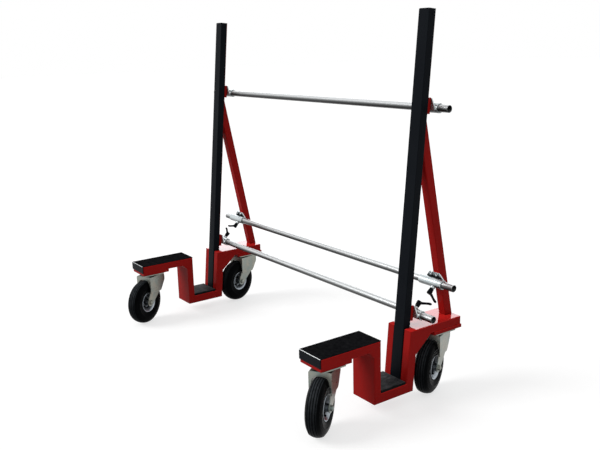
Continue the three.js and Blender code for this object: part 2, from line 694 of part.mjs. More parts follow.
function rim() {
  const dish = RIM_BED.map(([r, h]) => [r - RIM_WALL, h + RIM_LIP]).reverse();
  const web = RIM_WALL / 2;
  const hubEnd = HUB_TUBE_LENGTH / 2;
  const inner = [
    ...dish,
    [RIM_WELL_RADIUS - RIM_WALL, web],
    [HUB_TUBE_RADIUS, web],
    [HUB_TUBE_RADIUS, hubEnd],
    [BEARING_RADIUS + BORE_GAP, hubEnd],
  ];
  const back = inner.map(([r, h]) => [r, -h]).reverse();
  const profile = [...mirrored(RIM_BED), ...inner, ...back];
  profile.push(profile[0]);
  return flatDown(turned(profile, WHEEL_FACETS));
}

function tyre() {
  const groove = (middle) => [
    [TREAD_RADIUS, middle - TREAD_GROOVE_WIDTH / 2],
    [TREAD_RADIUS - TREAD_GROOVE_DEPTH, middle],
    [TREAD_RADIUS, middle + TREAD_GROOVE_WIDTH / 2],
  ];
  const low = TYRE_SECTION.map(([r, w]) => [r, -w]).reverse();
  const bed = RIM_BED.map(([r, h]) => [r + BORE_GAP, h - SEAT_GAP]);
  const tread = [-TREAD_RIB_PITCH, 0, TREAD_RIB_PITCH].flatMap(groove);
  const profile = [...low, ...tread, ...TYRE_SECTION, ...mirrored(bed).reverse()];
  profile.push(profile[0]);
  return flatDown(turned(profile, WHEEL_FACETS));
}

// Assembly

const casterPieces = {
  swivel_plate: [swivelPlate(), zincPlate],
  fork: [fork(), zincPlate],
  axle: [axle(), zincPlate],
  wheel_bearing: [wheelBearing(), galvanised],
  rim: [rim(), zincPlate],
  tyre: [tyre(), tyreRubber],
};

function caster(place, y) {
  const whole = new THREE.Group();
  whole.position.y = y;
  const swivel = new THREE.Group();
  swivel.rotation.z = THREE.MathUtils.degToRad(SWIVEL_DEG[place]);
  const wheel = new THREE.Group();
  wheel.position.set(0, -CASTER_TRAIL, AXLE_HEIGHT);
  const carrier = { swivel_plate: whole, fork: swivel };
  for (const [name, [geometry, material]] of Object.entries(casterPieces)) {
    (carrier[name] ?? wheel).add(mesh(`${place}_${name}`, geometry, material));
  }
  swivel.add(wheel);
  whole.add(swivel);
  return whole;
}

const CLAMP_TILT = THREE.MathUtils.degToRad(CLAMP_ANGLE_DEG);
const lowerClamp = { x: LOWER_LEVER_X, tilt: -CLAMP_TILT };
const middleClamp = { x: MIDDLE_LEVER_X, tilt: Math.PI - CLAMP_TILT };

const framePieces = {
  base_frame: [baseFrame(), redPaint],
  arm_pad: [armPad(), blackRubber],
  arm_end_cap: [armEndCap(), blackPlastic],
  channel_mat: [channelMat(), greyMat],
  post: [post(), redPaint],
  post_cover: [postCover(), blackPlastic],
  brace: [brace(), redPaint],
  upper_bracket: [postBracket(UPPER_TUBE_Z), redPaint],
  lower_bracket: [postBracket(LOWER_TUBE_Z), redPaint],
};

const sleeves = {
  upper: [sleeve(POST_SLEEVE_LENGTH, Math.PI, -LEAN), postTubeYAt(UPPER_TUBE_Z), UPPER_TUBE_Z],
  middle: [sleeve(BRACE_SLEEVE_LENGTH, 0, BRACE_LEAN, middleClamp), MIDDLE_TUBE_Y, MIDDLE_TUBE_Z],
  lower: [sleeve(POST_SLEEVE_LENGTH, Math.PI, -LEAN, lowerClamp), postTubeYAt(LOWER_TUBE_Z), LOWER_TUBE_Z],
};

const tubeShift = { upper: UPPER_TUBE_SHIFT, middle: MIDDLE_TUBE_SHIFT, lower: LOWER_TUBE_SHIFT };
const clamps = { middle: middleClamp, lower: lowerClamp };

// Turn of each lever's arm about its screw, in degrees from the cart's own +X
const LEVER_TURN_DEG = { left_middle: 180, left_lower: -55, right_middle: -90, right_lower: 0 };

const leverShape = lever();
const screwShape = leverScrew();

function clampLever(side, level) {
  const clamp = clamps[level];
  const turn = new THREE.Group();
  turn.rotation.z = THREE.MathUtils.degToRad(LEVER_TURN_DEG[`${side}_${level}`]);
  turn.add(mesh(`${side}_${level}_lever`, leverShape, blackPlastic));
  turn.add(mesh(`${side}_${level}_lever_screw`, screwShape, brightZinc));
  const tilted = new THREE.Group();
  tilted.position.set(clamp.x, 0, 0);
  tilted.rotation.x = clamp.tilt;
  tilted.add(turn);
  return tilted;
}

function sideFrame(side, x) {
  const frame = new THREE.Group();
  frame.position.x = x;
  for (const [name, [geometry, material]] of Object.entries(framePieces)) {
    frame.add(mesh(`${side}_${name}`, geometry, material));
  }
  for (const [level, [geometry, y, z]] of Object.entries(sleeves)) {
    const seat = new THREE.Group();
    seat.position.set(0, y, z);
    seat.add(mesh(`${side}_${level}_sleeve`, geometry, brightZinc));
    if (clamps[level]) seat.add(clampLever(side, level));
    frame.add(seat);
  }
  frame.add(caster(`front_${side}`, FRONT_SWIVEL_Y));
  frame.add(caster(`rear_${side}`, REAR_SWIVEL_Y));
  return frame;
}

const cart = new THREE.Group();
cart.add(sideFrame('left', -UNIT_SPACING / 2));
cart.add(sideFrame('right', UNIT_SPACING / 2));
const tubeShape = joiningTube();
for (const [level, [, y, z]] of Object.entries(sleeves)) {
  const tube = mesh(`${level}_tube`, tubeShape, galvanised);
  tube.position.set(tubeShift[level], y, z);
  cart.add(tube);
}

export default cart;
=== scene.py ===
import json
import math

import bmesh
import bpy
from mathutils import Matrix, Vector


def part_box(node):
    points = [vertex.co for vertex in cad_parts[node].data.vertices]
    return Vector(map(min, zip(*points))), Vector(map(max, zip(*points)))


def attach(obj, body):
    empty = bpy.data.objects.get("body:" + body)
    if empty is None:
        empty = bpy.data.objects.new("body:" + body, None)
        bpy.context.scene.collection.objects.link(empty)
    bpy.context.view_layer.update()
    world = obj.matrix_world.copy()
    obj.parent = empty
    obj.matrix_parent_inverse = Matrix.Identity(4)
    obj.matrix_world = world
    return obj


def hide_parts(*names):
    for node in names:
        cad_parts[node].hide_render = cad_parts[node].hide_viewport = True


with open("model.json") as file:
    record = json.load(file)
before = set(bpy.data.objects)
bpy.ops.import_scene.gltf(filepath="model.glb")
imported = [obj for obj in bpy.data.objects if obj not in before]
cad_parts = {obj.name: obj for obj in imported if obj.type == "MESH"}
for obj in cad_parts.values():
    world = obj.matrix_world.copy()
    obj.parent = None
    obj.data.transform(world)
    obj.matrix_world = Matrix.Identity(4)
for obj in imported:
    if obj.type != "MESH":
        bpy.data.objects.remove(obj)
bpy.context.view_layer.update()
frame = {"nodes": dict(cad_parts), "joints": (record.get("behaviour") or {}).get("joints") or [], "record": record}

# Looks of the sheet goods cart, in metres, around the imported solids.

SOLIDS = frame["nodes"]
JOINTS = {j["name"]: j for j in frame["joints"]}
SIDES = ("left", "right")
ENDS = ("front", "rear")
CASTERS = [f"{end}_{side}" for side in SIDES for end in ENDS]
LEVELS = ("upper", "middle", "lower")
CLAMPED = ("middle", "lower")
UP = Vector((0, 0, 1))


def add_object(name, data):
    made = bpy.data.objects.new(name, data)
    bpy.context.scene.collection.objects.link(made)
    return made


# Camera at the photograph's viewpoint

CAMERA_AT = Vector((2.9403, -1.8723, 1.4514))
CAMERA_AZIMUTH = math.radians(54.798)
CAMERA_ELEVATION = math.radians(13.415)
CAMERA_ROLL = math.radians(-1.528)
CAMERA_LENS_MM = 45.785
SENSOR_MM = 36
CAMERA_REACH = 200


def make_camera():
    a, e, r = CAMERA_AZIMUTH, CAMERA_ELEVATION, CAMERA_ROLL
    back = Vector((math.sin(a) * math.cos(e), -math.cos(a) * math.cos(e), math.sin(e)))
    level = Vector((math.cos(a), math.sin(a), 0))
    upright = back.cross(level)
    right = level * math.cos(r) + upright * math.sin(r)
    up = upright * math.cos(r) - level * math.sin(r)
    data = bpy.data.cameras.new("camera")
    data.lens = CAMERA_LENS_MM
    data.sensor_width = SENSOR_MM
    data.sensor_fit = "HORIZONTAL"
    data.clip_end = CAMERA_REACH
    camera = add_object("camera", data)
    axes = Matrix((right, up, back)).transposed()
    camera.matrix_world = Matrix.Translation(CAMERA_AT) @ axes.to_4x4()
    bpy.context.scene.camera = camera


# Materials


class Finish:
    """One material, with short names for the nodes that make it."""

    def __init__(self, name):
        self.material = bpy.data.materials.new(name)
        self.material.use_nodes = True
        self.tree = self.material.node_tree
        self.shader = self.tree.nodes["Principled BSDF"]
        self.coords = self.add("ShaderNodeTexCoord").outputs["Object"]

    def add(self, kind, **values):
        node = self.tree.nodes.new(kind)
        for key, value in values.items():
            setattr(node, key, value)
        return node

    def link(self, source, target):
        self.tree.links.new(source, target)

    def stretched(self, scale):
        mapping = self.add("ShaderNodeMapping")
        mapping.inputs["Scale"].default_value = scale
        self.link(self.coords, mapping.inputs["Vector"])
        return mapping.outputs["Vector"]

    def noise(self, scale, detail=3.0, roughness=0.55, stretch=None):
        node = self.add("ShaderNodeTexNoise")
        node.inputs["Scale"].default_value = scale
        node.inputs["Detail"].default_value = detail
        node.inputs["Roughness"].default_value = roughness
        vector = self.stretched(stretch) if stretch else self.coords
        self.link(vector, node.inputs["Vector"])
        return node.outputs["Fac"]

    def cells(self, scale):
        node = self.add("ShaderNodeTexVoronoi")
        node.inputs["Scale"].default_value = scale
        self.link(self.coords, node.inputs["Vector"])
        return node.outputs["Distance"]

    def ramp(self, factor, stops):
        node = self.add("ShaderNodeValToRGB")
        elements = node.color_ramp.elements
        while len(elements) < len(stops):
            elements.new(0.5)
        for element, (place, colour) in zip(elements, stops):
            element.position = place
            element.color = (*colour, 1)
        self.link(factor, node.inputs["Fac"])
        return node.outputs["Color"]

    def spread(self, factor, low, high, start=0.3, end=0.7):
        node = self.add("ShaderNodeMapRange")
        node.inputs["From Min"].default_value = start
        node.inputs["From Max"].default_value = end
        node.inputs["To Min"].default_value = low
        node.inputs["To Max"].default_value = high
        self.link(factor, node.inputs["Value"])
        return node.outputs["Result"]

    def bump(self, height, distance, strength=1.0, below=None):
        node = self.add("ShaderNodeBump")
        node.inputs["Distance"].default_value = distance
        node.inputs["Strength"].default_value = strength
        self.link(height, node.inputs["Height"])
        if below is not None:
            self.link(below, node.inputs["Normal"])
        return node.outputs["Normal"]

    def upward(self):
        """0 on faces that look down, 1 on faces that look up."""
        split = self.add("ShaderNodeSeparateXYZ")
        self.link(self.add("ShaderNodeNewGeometry").outputs["Normal"], split.inputs[0])
        return self.spread(split.outputs["Z"], 0, 1, -1, 1)

    def openness(self, distance):
        """0 deep in a recess, 1 in the open."""
        node = self.add("ShaderNodeAmbientOcclusion", samples=8)
        node.inputs["Distance"].default_value = distance
        return node.outputs["AO"]

    def mixed(self, first, second, factor, blend="MIX"):
        """Two colours mixed. The colour sockets share their names with others, so they go by number."""
        node = self.add("ShaderNodeMix", data_type="RGBA", blend_type=blend)
        if isinstance(factor, float):
            node.inputs["Factor"].default_value = factor
        else:
            self.link(factor, node.inputs["Factor"])
        self.link(first, node.inputs[6])
        self.link(second, node.inputs[7])
        return node.outputs[2]

    def times(self, colour, shade):
        return self.mixed(colour, shade, 1.0, "MULTIPLY")

    def greys(self, factor, stops):
        return self.ramp(factor, [(place, (grey, grey, grey)) for place, grey in stops])

    def product(self, first, second):
        node = self.add("ShaderNodeMath", operation="MULTIPLY")
        self.link(first, node.inputs[0])
        self.link(second, node.inputs[1])
        return node.outputs[0]

    def set(self, **values):
        for key, value in values.items():
            self.shader.inputs[key.replace("_", " ")].default_value = value

    def into(self, source, socket):
        self.link(source, self.shader.inputs[socket])


def red_paint():
    n = Finish("red_paint")
    n.set(Metallic=0.0, IOR=1.4, Specular_IOR_Level=0.025, Coat_Roughness=0.04)
    facing = n.add("ShaderNodeLayerWeight").outputs["Facing"]
    glancing = n.spread(facing, 0, 1, 0.44, 0.62)
    n.into(n.product(glancing, n.spread(n.upward(), 0, 1, 0.8, 0.95)), "Coat Weight")
    red = n.ramp(n.noise(2.2, 4), [(0.3, (0.560, 0.0160, 0.0140)), (0.7, (0.675, 0.0218, 0.0187))])
    # Painted light: the red is full only on faces that look up, and painted shade darkens it on the sides.
    n.into(n.times(red, n.greys(n.upward(), [(0.6, 0.43), (0.95, 1.0)])), "Base Color")
    n.into(n.spread(n.noise(9, 5), 0.07, 0.13), "Roughness")
    peel = n.bump(n.noise(260, 1.5), 0.0004, 0.06)
    n.into(n.bump(n.noise(6, 2), 0.004, 0.04, peel), "Normal")
    return n.material


def black_rubber():
    n = Finish("black_rubber")
    n.set(Metallic=0.0, Specular_IOR_Level=0.0)
    black = n.ramp(n.noise(60, 6, 0.7), [(0.35, (0.0036, 0.0038, 0.0044)), (0.75, (0.014, 0.014, 0.0155))])
    n.into(black, "Base Color")
    n.into(n.spread(n.noise(25, 4), 0.5, 0.68), "Roughness")
    pebble = n.bump(n.cells(420), 0.0004, 0.45)
    n.into(n.bump(n.noise(900, 2), 0.0002, 0.35, pebble), "Normal")
    return n.material


def black_plastic():
    n = Finish("black_plastic")
    n.set(Metallic=0.0, Specular_IOR_Level=0.03)
    black = n.ramp(n.noise(3.5, 5, 0.6), [(0.3, (0.003, 0.0042, 0.0062)), (0.75, (0.0052, 0.0068, 0.0092))])
    n.into(black, "Base Color")
    n.into(n.spread(n.noise(14, 4, 0.55, (1, 1, 0.15)), 0.36, 0.5), "Roughness")
    grain = n.bump(n.cells(700), 0.0002, 0.3)
    n.into(n.bump(n.noise(5, 2), 0.003, 0.05, grain), "Normal")
    return n.material


def grey_rubber():
    n = Finish("grey_rubber")
    n.set(Metallic=0.0, Specular_IOR_Level=0.03)
    streaks = n.noise(80, 6, 0.75, (1, 0.4, 1))
    worn = n.ramp(streaks, [(0.36, (0.008, 0.009, 0.010)), (0.66, (0.082, 0.088, 0.094))])
    # Painted shade: the mat is much darker on its sides than on its top.
    n.into(n.times(worn, n.greys(n.upward(), [(0.6, 0.12), (0.9, 1.0)])), "Base Color")
    n.into(n.spread(n.noise(30, 4), 0.5, 0.7), "Roughness")
    n.into(n.bump(n.noise(650, 3), 0.0003, 0.5), "Normal")
    return n.material


def plated(name, low, high, painted_light, recess, roughness, stretch=None, depth=0.02):
    """A plated metal of two mottled colours, with painted light by which way its faces look, and painted shade in
    its recesses.
    """
    n = Finish(name)
    n.set(Metallic=0.8)
    patch = n.noise(26, 3, 0.5, stretch)
    # Painted light: darker or lighter by how far each face looks up.
    colour = n.times(n.ramp(patch, [(0.3, low), (0.7, high)]), n.greys(n.upward(), painted_light))
    # Painted shade: darker deep in recesses.
    n.into(n.times(colour, n.greys(n.openness(depth), [(0.25, recess), (0.85, 1.0)])), "Base Color")
    n.into(n.spread(n.noise(70, 3, 0.5, stretch), *roughness), "Roughness")
    n.into(n.bump(n.noise(480, 2, 0.5, stretch), 0.0002, 0.06), "Normal")
    return n.material


def zinc():
    # Painted shade: darker on faces that look down, and in recesses.
    painted_light = [(0.1, 0.2), (0.42, 0.5), (0.5, 0.66), (0.62, 0.9), (0.8, 1.0)]
    return plated(
        "zinc", low=(0.31, 0.375, 0.355), high=(0.46, 0.44, 0.37), painted_light=painted_light, recess=0.2,
        roughness=(0.26, 0.38), depth=0.025,
    )


def bright_zinc():
    # Painted shade: darker on faces that look down, and in recesses.
    painted_light = [(0.1, 0.08), (0.35, 0.25), (0.48, 0.6), (0.6, 0.95), (0.8, 1.0)]
    return plated(
        "bright_zinc", low=(0.52, 0.585, 0.60), high=(0.66, 0.70, 0.71), painted_light=painted_light, recess=0.08,
        roughness=(0.2, 0.3),
    )


def galvanised():
    # Painted highlight along the top of each tube, and painted shade on its underside and in recesses.
    painted_light = [(0.05, 0.01), (0.35, 0.03), (0.5, 0.15), (0.7, 0.55), (0.85, 1.0), (0.95, 0.9)]
    return plated(
        "galvanised", low=(0.58, 0.60, 0.61), high=(0.68, 0.695, 0.70), painted_light=painted_light, recess=0.3,
        roughness=(0.24, 0.32), stretch=(0.01, 1, 1),
    )


def rim_steel():
    # Painted shade: darker on faces that look down and deep in the dish.
    painted_light = [(0.1, 0.25), (0.42, 0.5), (0.5, 0.65), (0.7, 1.0)]
    return plated(
        "rim_steel", low=(0.36, 0.41, 0.46), high=(0.50, 0.54, 0.58), painted_light=painted_light, recess=0.13,
        roughness=(0.26, 0.38), depth=0.045,
    )


# Mesh attribute: 1 on the rib tops of a tyre, 0 elsewhere, where the tyre is lightened for dust and wear and as a
# painted highlight
WORN_AND_LIT = "worn"


def tyre_rubber():
    n = Finish("tyre_rubber")
    n.set(Metallic=0.0, Specular_IOR_Level=0.012, Specular_Tint=(0.85, 0.95, 1.0, 1))
    black = n.ramp(n.noise(40, 6, 0.65), [(0.3, (0.001, 0.0011, 0.0013)), (0.75, (0.0026, 0.0028, 0.0032))])
    # The rib tops' lighter colour: dust and wear, and a painted highlight.
    dust_and_highlight = n.ramp(n.noise(70, 5, 0.7), [(0.3, (0.014, 0.016, 0.018)), (0.7, (0.042, 0.047, 0.052))])
    tread = n.add("ShaderNodeAttribute", attribute_name=WORN_AND_LIT).outputs["Fac"]
    # Painted highlight: the rib tops lighter the more they look up.
    worn = n.product(tread, n.spread(n.upward(), 0.3, 1, 0.5, 0.95))
    n.into(n.mixed(black, dust_and_highlight, worn), "Base Color")
    n.into(n.spread(n.noise(24, 5), 0.22, 0.32), "Roughness")
    n.into(n.bump(n.noise(800, 3), 0.0002, 0.3), "Normal")
    return n.material


MATERIALS = {
    make.__name__: make()
    for make in (
        red_paint, black_rubber, black_plastic, grey_rubber, zinc, bright_zinc, galvanised, rim_steel,
        tyre_rubber,
    )
}


# Stage and light

WORLD_LIGHT = 0.5
SKY_TINT = (0.93, 0.96, 1.0)
FLOOR_REACH = 40
FLOOR_DROP = 0.0005
FLOOR_BOUNCE = 0.6
FLOOR_SHADED = 0.42
FLOOR_GLOW = 0.66


def background_rays(tree):
    """1 for rays that show the background, straight or in a glossy or clear surface, and 0 for the rest."""
    path = tree.nodes.new("ShaderNodeLightPath")
    shown = path.outputs["Is Camera Ray"]
    for kind in ("Is Glossy Ray", "Is Transmission Ray"):
        either = tree.nodes.new("ShaderNodeMath")
        either.operation = "MAXIMUM"
        tree.links.new(shown, either.inputs[0])
        tree.links.new(path.outputs[kind], either.inputs[1])
        shown = either.outputs[0]
    return shown


def pale_floor():
    """White with the object's shadow where it is seen, and plain grey for the light that it sends back."""
    n = Finish("pale_floor")
    n.tree.nodes.remove(n.shader)
    plain = n.add("ShaderNodeBsdfDiffuse")
    plain.inputs["Color"].default_value = (FLOOR_BOUNCE, FLOOR_BOUNCE, FLOOR_BOUNCE, 1)
    shaded = n.add("ShaderNodeBsdfDiffuse")
    shaded.inputs["Color"].default_value = (FLOOR_SHADED, FLOOR_SHADED, FLOOR_SHADED, 1)
    glow = n.add("ShaderNodeEmission")
    glow.inputs["Strength"].default_value = FLOOR_GLOW
    both = n.add("ShaderNodeAddShader")
    n.link(shaded.outputs[0], both.inputs[0])
    n.link(glow.outputs[0], both.inputs[1])
    mix = n.add("ShaderNodeMixShader")
    n.link(background_rays(n.tree), mix.inputs[0])
    n.link(plain.outputs[0], mix.inputs[1])
    n.link(both.outputs[0], mix.inputs[2])
    n.link(mix.outputs[0], n.tree.nodes["Material Output"].inputs["Surface"])
    return n.material


def make_floor():
    mesh = bpy.data.meshes.new("floor")
    corners = [(-1, -1), (1, -1), (1, 1), (-1, 1)]
    mesh.from_pydata([(x * FLOOR_REACH, y * FLOOR_REACH, 0) for x, y in corners], [], [(0, 1, 2, 3)])
    mesh.materials.append(pale_floor())
    floor = add_object("floor", mesh)
    floor.location.z = -FLOOR_DROP


def make_world():
    """A soft white sky, which also stands behind the object as a white background."""
    world = bpy.data.worlds.new("studio")
    bpy.context.scene.world = world
    world.use_nodes = True
    tree = world.node_tree
    ambient = tree.nodes["Background"]
    ambient.inputs["Color"].default_value = (1, 1, 1, 1)
    ambient.inputs["Strength"].default_value = WORLD_LIGHT
    white = tree.nodes.new("ShaderNodeBackground")
    white.inputs["Color"].default_value = (1, 1, 1, 1)
    white.inputs["Strength"].default_value = 1.0
    mix = tree.nodes.new("ShaderNodeMixShader")
    tree.links.new(background_rays(tree), mix.inputs[0])
    tree.links.new(ambient.outputs[0], mix.inputs[1])
    tree.links.new(white.outputs[0], mix.inputs[2])
    tree.links.new(mix.outputs[0], tree.nodes["World Output"].inputs["Surface"])


def hang(data, towards):
    """A lamp that shines along a direction."""
    lamp = add_object(data.name, data)
    lamp.rotation_mode = "QUATERNION"
    lamp.rotation_quaternion = Vector(towards).to_track_quat("-Z", "Y")
    return lamp


def sun(name, strength, spread_deg, towards):
    data = bpy.data.lights.new(name, "SUN")
    data.energy = strength
    data.angle = math.radians(spread_deg)
    hang(data, towards)


def softbox(name, at, aim, width, height, radiance):
    data = bpy.data.lights.new(name, "AREA")
    data.shape = "RECTANGLE"
    data.size = width
    data.size_y = height
    data.energy = radiance * math.pi * width * height
    data.color = SKY_TINT
    lamp = hang(data, Vector(aim) - Vector(at))
    lamp.location = at
    lamp.visible_camera = False


# Mesh tools

# Points closer than this become one, and faces closer in angle than this become one
MERGE = 0.00005
FLAT_DEG = 0.5
# A profile point this near the axis lies on it
ON_AXIS = 1e-7
# Rounded corners: points round each, the most of a side that one takes, and the least radius
CORNER_STEPS = 6
CORNER_SHARE = 0.49
CORNER_LEAST = 1e-6
# An axis this close to upright takes Y as its helper
STEEP = 0.95


def to_mesh(bm, name):
    bmesh.ops.recalc_face_normals(bm, faces=bm.faces)
    mesh = bpy.data.meshes.new(name)
    bm.to_mesh(mesh)
    bm.free()
    return mesh


def lathe(profile, segments, name="turned"):
    """A closed profile of (radius, x) points turned about X. Points on the axis become one vertex."""
    bm = bmesh.new()
    rings = []
    for radius, x in profile:
        if radius < ON_AXIS:
            rings.append([bm.verts.new((x, 0, 0))])
            continue
        ring = []
        for i in range(segments):
            a = 2 * math.pi * i / segments
            ring.append(bm.verts.new((x, radius * math.cos(a), radius * math.sin(a))))
        rings.append(ring)
    for k, low in enumerate(rings):
        high = rings[(k + 1) % len(rings)]
        if len(low) == 1 and len(high) == 1:
            continue
        for i in range(segments):
            j = (i + 1) % segments
            corners = [low[i % len(low)], low[j % len(low)], high[j % len(high)], high[i % len(high)]]
            bm.faces.new(list(dict.fromkeys(corners)))
    return to_mesh(bm, name)


def mirrored(profile):
    """The other half of a profile that is the same on both sides of x = 0."""
    return [(radius, -x) for radius, x in reversed(profile)]


def rod(radius, low, high, segments=32):
    """A plain rod along X, for shanks and for boring holes."""
    return lathe([(0, low), (radius, low), (radius, high), (0, high)], segments)


def hollow(outer, inner, length, ease):
    """A tube along X about the origin, with its outer edges eased."""
    end = length / 2
    return lathe([
        (inner, -end), (outer - ease, -end), (outer, -end + ease), (outer, end - ease), (outer - ease, end),
        (inner, end),
    ], segments=72, name="hollow")


def prism(outline, low, high, along="X"):
    """A 2-D outline drawn out along an axis: (y, z) along X or (x, z) along Y."""
    bm = bmesh.new()
    ends = []
    for d in (low, high):
        ends.append([bm.verts.new((d, a, z) if along == "X" else (a, d, z)) for a, z in outline])
    near, far = ends
    bm.faces.new(near)
    bm.faces.new(far)
    count = len(outline)
    for i in range(count):
        j = (i + 1) % count
        bm.faces.new((near[i], near[j], far[j], far[i]))
    return to_mesh(bm, "prism")


def rounded(points, radius):
    """The outline with each corner rounded. A point may carry its own radius as a third value."""
    made = []
    count = len(points)
    for i, point in enumerate(points):
        here = Vector(point[:2])
        r = point[2] if len(point) > 2 else radius
        before = Vector(points[i - 1][:2]) - here
        after = Vector(points[(i + 1) % count][:2]) - here
        half = before.angle(after) / 2
        setback = min(r / math.tan(half), before.length * CORNER_SHARE, after.length * CORNER_SHARE)
        r = setback * math.tan(half)
        if r < CORNER_LEAST:
            made.append(tuple(here))
            continue
        middle = here + (before.normalized() + after.normalized()).normalized() * (r / math.sin(half))
        start = here + before.normalized() * setback - middle
        end = here + after.normalized() * setback - middle
        sweep = start.angle_signed(end)
        for s in range(CORNER_STEPS + 1):
            made.append(tuple(middle + Matrix.Rotation(-sweep * s / CORNER_STEPS, 2) @ start))
    return made


def smooth_line(points, steps):
    """A Catmull-Rom line through the points."""
    made = []
    for i in range(len(points) - 1):
        p0 = Vector(points[max(i - 1, 0)])
        p1, p2 = Vector(points[i]), Vector(points[i + 1])
        p3 = Vector(points[min(i + 2, len(points) - 1)])
        for s in range(steps):
            t = s / steps
            square = (2 * p0 - 5 * p1 + 4 * p2 - p3) * t ** 2
            cube = (3 * p1 - p0 - 3 * p2 + p3) * t ** 3
            made.append(tuple(0.5 * ((2 * p1) + (p2 - p0) * t + square + cube)))
    made.append(tuple(points[-1]))
    return made


def scratch_object(mesh):
    return add_object(mesh.name, mesh)


def evaluated(thing):
    """The object's mesh with its modifiers applied."""
    bpy.context.view_layer.update()
    graph = bpy.context.evaluated_depsgraph_get()
    return bpy.data.meshes.new_from_object(thing.evaluated_get(graph), depsgraph=graph)


def cleaned(mesh, flat=False):
    """The mesh without doubled points and slivers and, where asked, without seams across flat faces."""
    bm = bmesh.new()
    bm.from_mesh(mesh)
    bmesh.ops.remove_doubles(bm, verts=bm.verts, dist=MERGE)
    bmesh.ops.dissolve_degenerate(bm, edges=bm.edges, dist=MERGE)
    if flat:
        bmesh.ops.dissolve_limit(bm, angle_limit=math.radians(FLAT_DEG), verts=bm.verts, edges=bm.edges)
    bm.to_mesh(mesh)
    bm.free()
    return mesh


def combined(base, others, operation):
    """The base mesh with each other mesh joined to it, cut from it, or kept in common with it."""
    whole = scratch_object(base)
    helpers = [scratch_object(mesh) for mesh in others]
    for helper in helpers:
        modifier = whole.modifiers.new("combine", "BOOLEAN")
        modifier.operation = operation
        modifier.solver = "EXACT"
        modifier.object = helper
    made = cleaned(evaluated(whole))
    for helper in helpers:
        bpy.data.objects.remove(helper)
    bpy.data.objects.remove(whole)
    return made


def join(base, *others):
    return combined(base, others, "UNION")


def cut(base, *others):
    return combined(base, others, "DIFFERENCE")


def common(base, *others):
    return combined(base, others, "INTERSECT")


def shade_smooth(mesh):
    mesh.polygons.foreach_set("use_smooth", [True] * len(mesh.polygons))


def shade(mesh, angle_deg):
    """The mesh shaded smooth, apart from edges sharper than the angle."""
    shade_smooth(mesh)
    mesh.set_sharp_from_angle(angle=math.radians(angle_deg))
    return mesh


def add_bevel(thing, width, segments, angle_deg):
    """Rounds the edges sharper than the angle, and keeps flat faces shaded flat."""
    modifier = thing.modifiers.new("edges", "BEVEL")
    modifier.width = width
    modifier.segments = segments
    modifier.limit_method = "ANGLE"
    modifier.angle_limit = math.radians(angle_deg)
    modifier.use_clamp_overlap = True
    modifier.miter_outer = "MITER_ARC"
    modifier.harden_normals = True


def eased(mesh, width, segments, angle_deg):
    """The mesh with its sharp edges rounded off."""
    mesh = cleaned(mesh, flat=True)
    shade_smooth(mesh)
    thing = scratch_object(mesh)
    add_bevel(thing, width, segments, angle_deg)
    made = evaluated(thing)
    bpy.data.objects.remove(thing)
    return made


def levelled(mesh):
    """The mesh with the normals of its large flat faces kept square to them."""
    thing = scratch_object(mesh)
    thing.modifiers.new("level", "WEIGHTED_NORMAL").keep_sharp = True
    made = evaluated(thing)
    bpy.data.objects.remove(thing)
    return made


def moved(mesh, matrix):
    made = mesh.copy()
    made.transform(matrix)
    return made


def shift(x, y, z):
    return Matrix.Translation((x, y, z))


def turn(angle, axis):
    return Matrix.Rotation(angle, 4, axis)


def turned_to(axis, at):
    """A matrix that takes X to the axis and keeps Z as upright as it can."""
    x = Vector(axis).normalized()
    helper = UP if abs(x.z) < STEEP else Vector((0, 1, 0))
    y = helper.cross(x).normalized()
    axes = Matrix((x, y, x.cross(y))).transposed()
    return Matrix.Translation(at) @ axes.to_4x4()


def piece(name, mesh, matrix, body, slot, replaces=()):
    """A shown piece: its own copy of the mesh, set in place, riding on its body."""
    thing = add_object(name, moved(mesh, matrix))
    thing.data.name = name
    thing.data.materials.clear()
    thing.data.materials.append(MATERIALS[slot])
    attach(thing, body)
    if replaces:
        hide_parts(*replaces)


# Bolts and screws, standing on x = 0

HEX_CHAMFER = 0.12
CONE_WIDER = 1.02
CONE_BELOW = 0.001
NUT_SINK = 0.0001
WASHER_SINK = 0.0005
HEAD_SINK = 0.001
SLOT_HALF = 0.0005
SLOT_TOP = 0.004

# (radius, x) of the heads: on the casters' plates, in the levers and on the post covers
PLATE_BOLT = [
    (0, -WASHER_SINK), (0.0085, -WASHER_SINK), (0.0085, 0.0004), (0.0078, 0.0011), (0.005, 0.0018), (0, 0.0021),
]
CAP_SCREW = [(0, -HEAD_SINK), (0.0036, -HEAD_SINK), (0.0036, 0.0010), (0.0028, 0.0016), (0, 0.0018)]
COVER_SCREW = [
    (0, -HEAD_SINK), (0.0042, -HEAD_SINK), (0.0042, 0.0006), (0.0034, 0.0016), (0.0016, 0.0021), (0, 0.0022),
]


def hex_mesh(radius, height):
    """A chamfered hexagon."""
    corners = [(radius * math.cos(a), radius * math.sin(a)) for a in (math.pi * k / 3 for k in range(6))]
    slope = radius * HEX_CHAMFER
    wide = radius * CONE_WIDER
    cone = lathe([
        (0, -CONE_BELOW), (wide, -CONE_BELOW), (wide, height - slope * 0.6), (wide - slope * 1.3, height),
        (0, height),
    ], segments=36)
    return common(prism(corners, 0, height), cone)


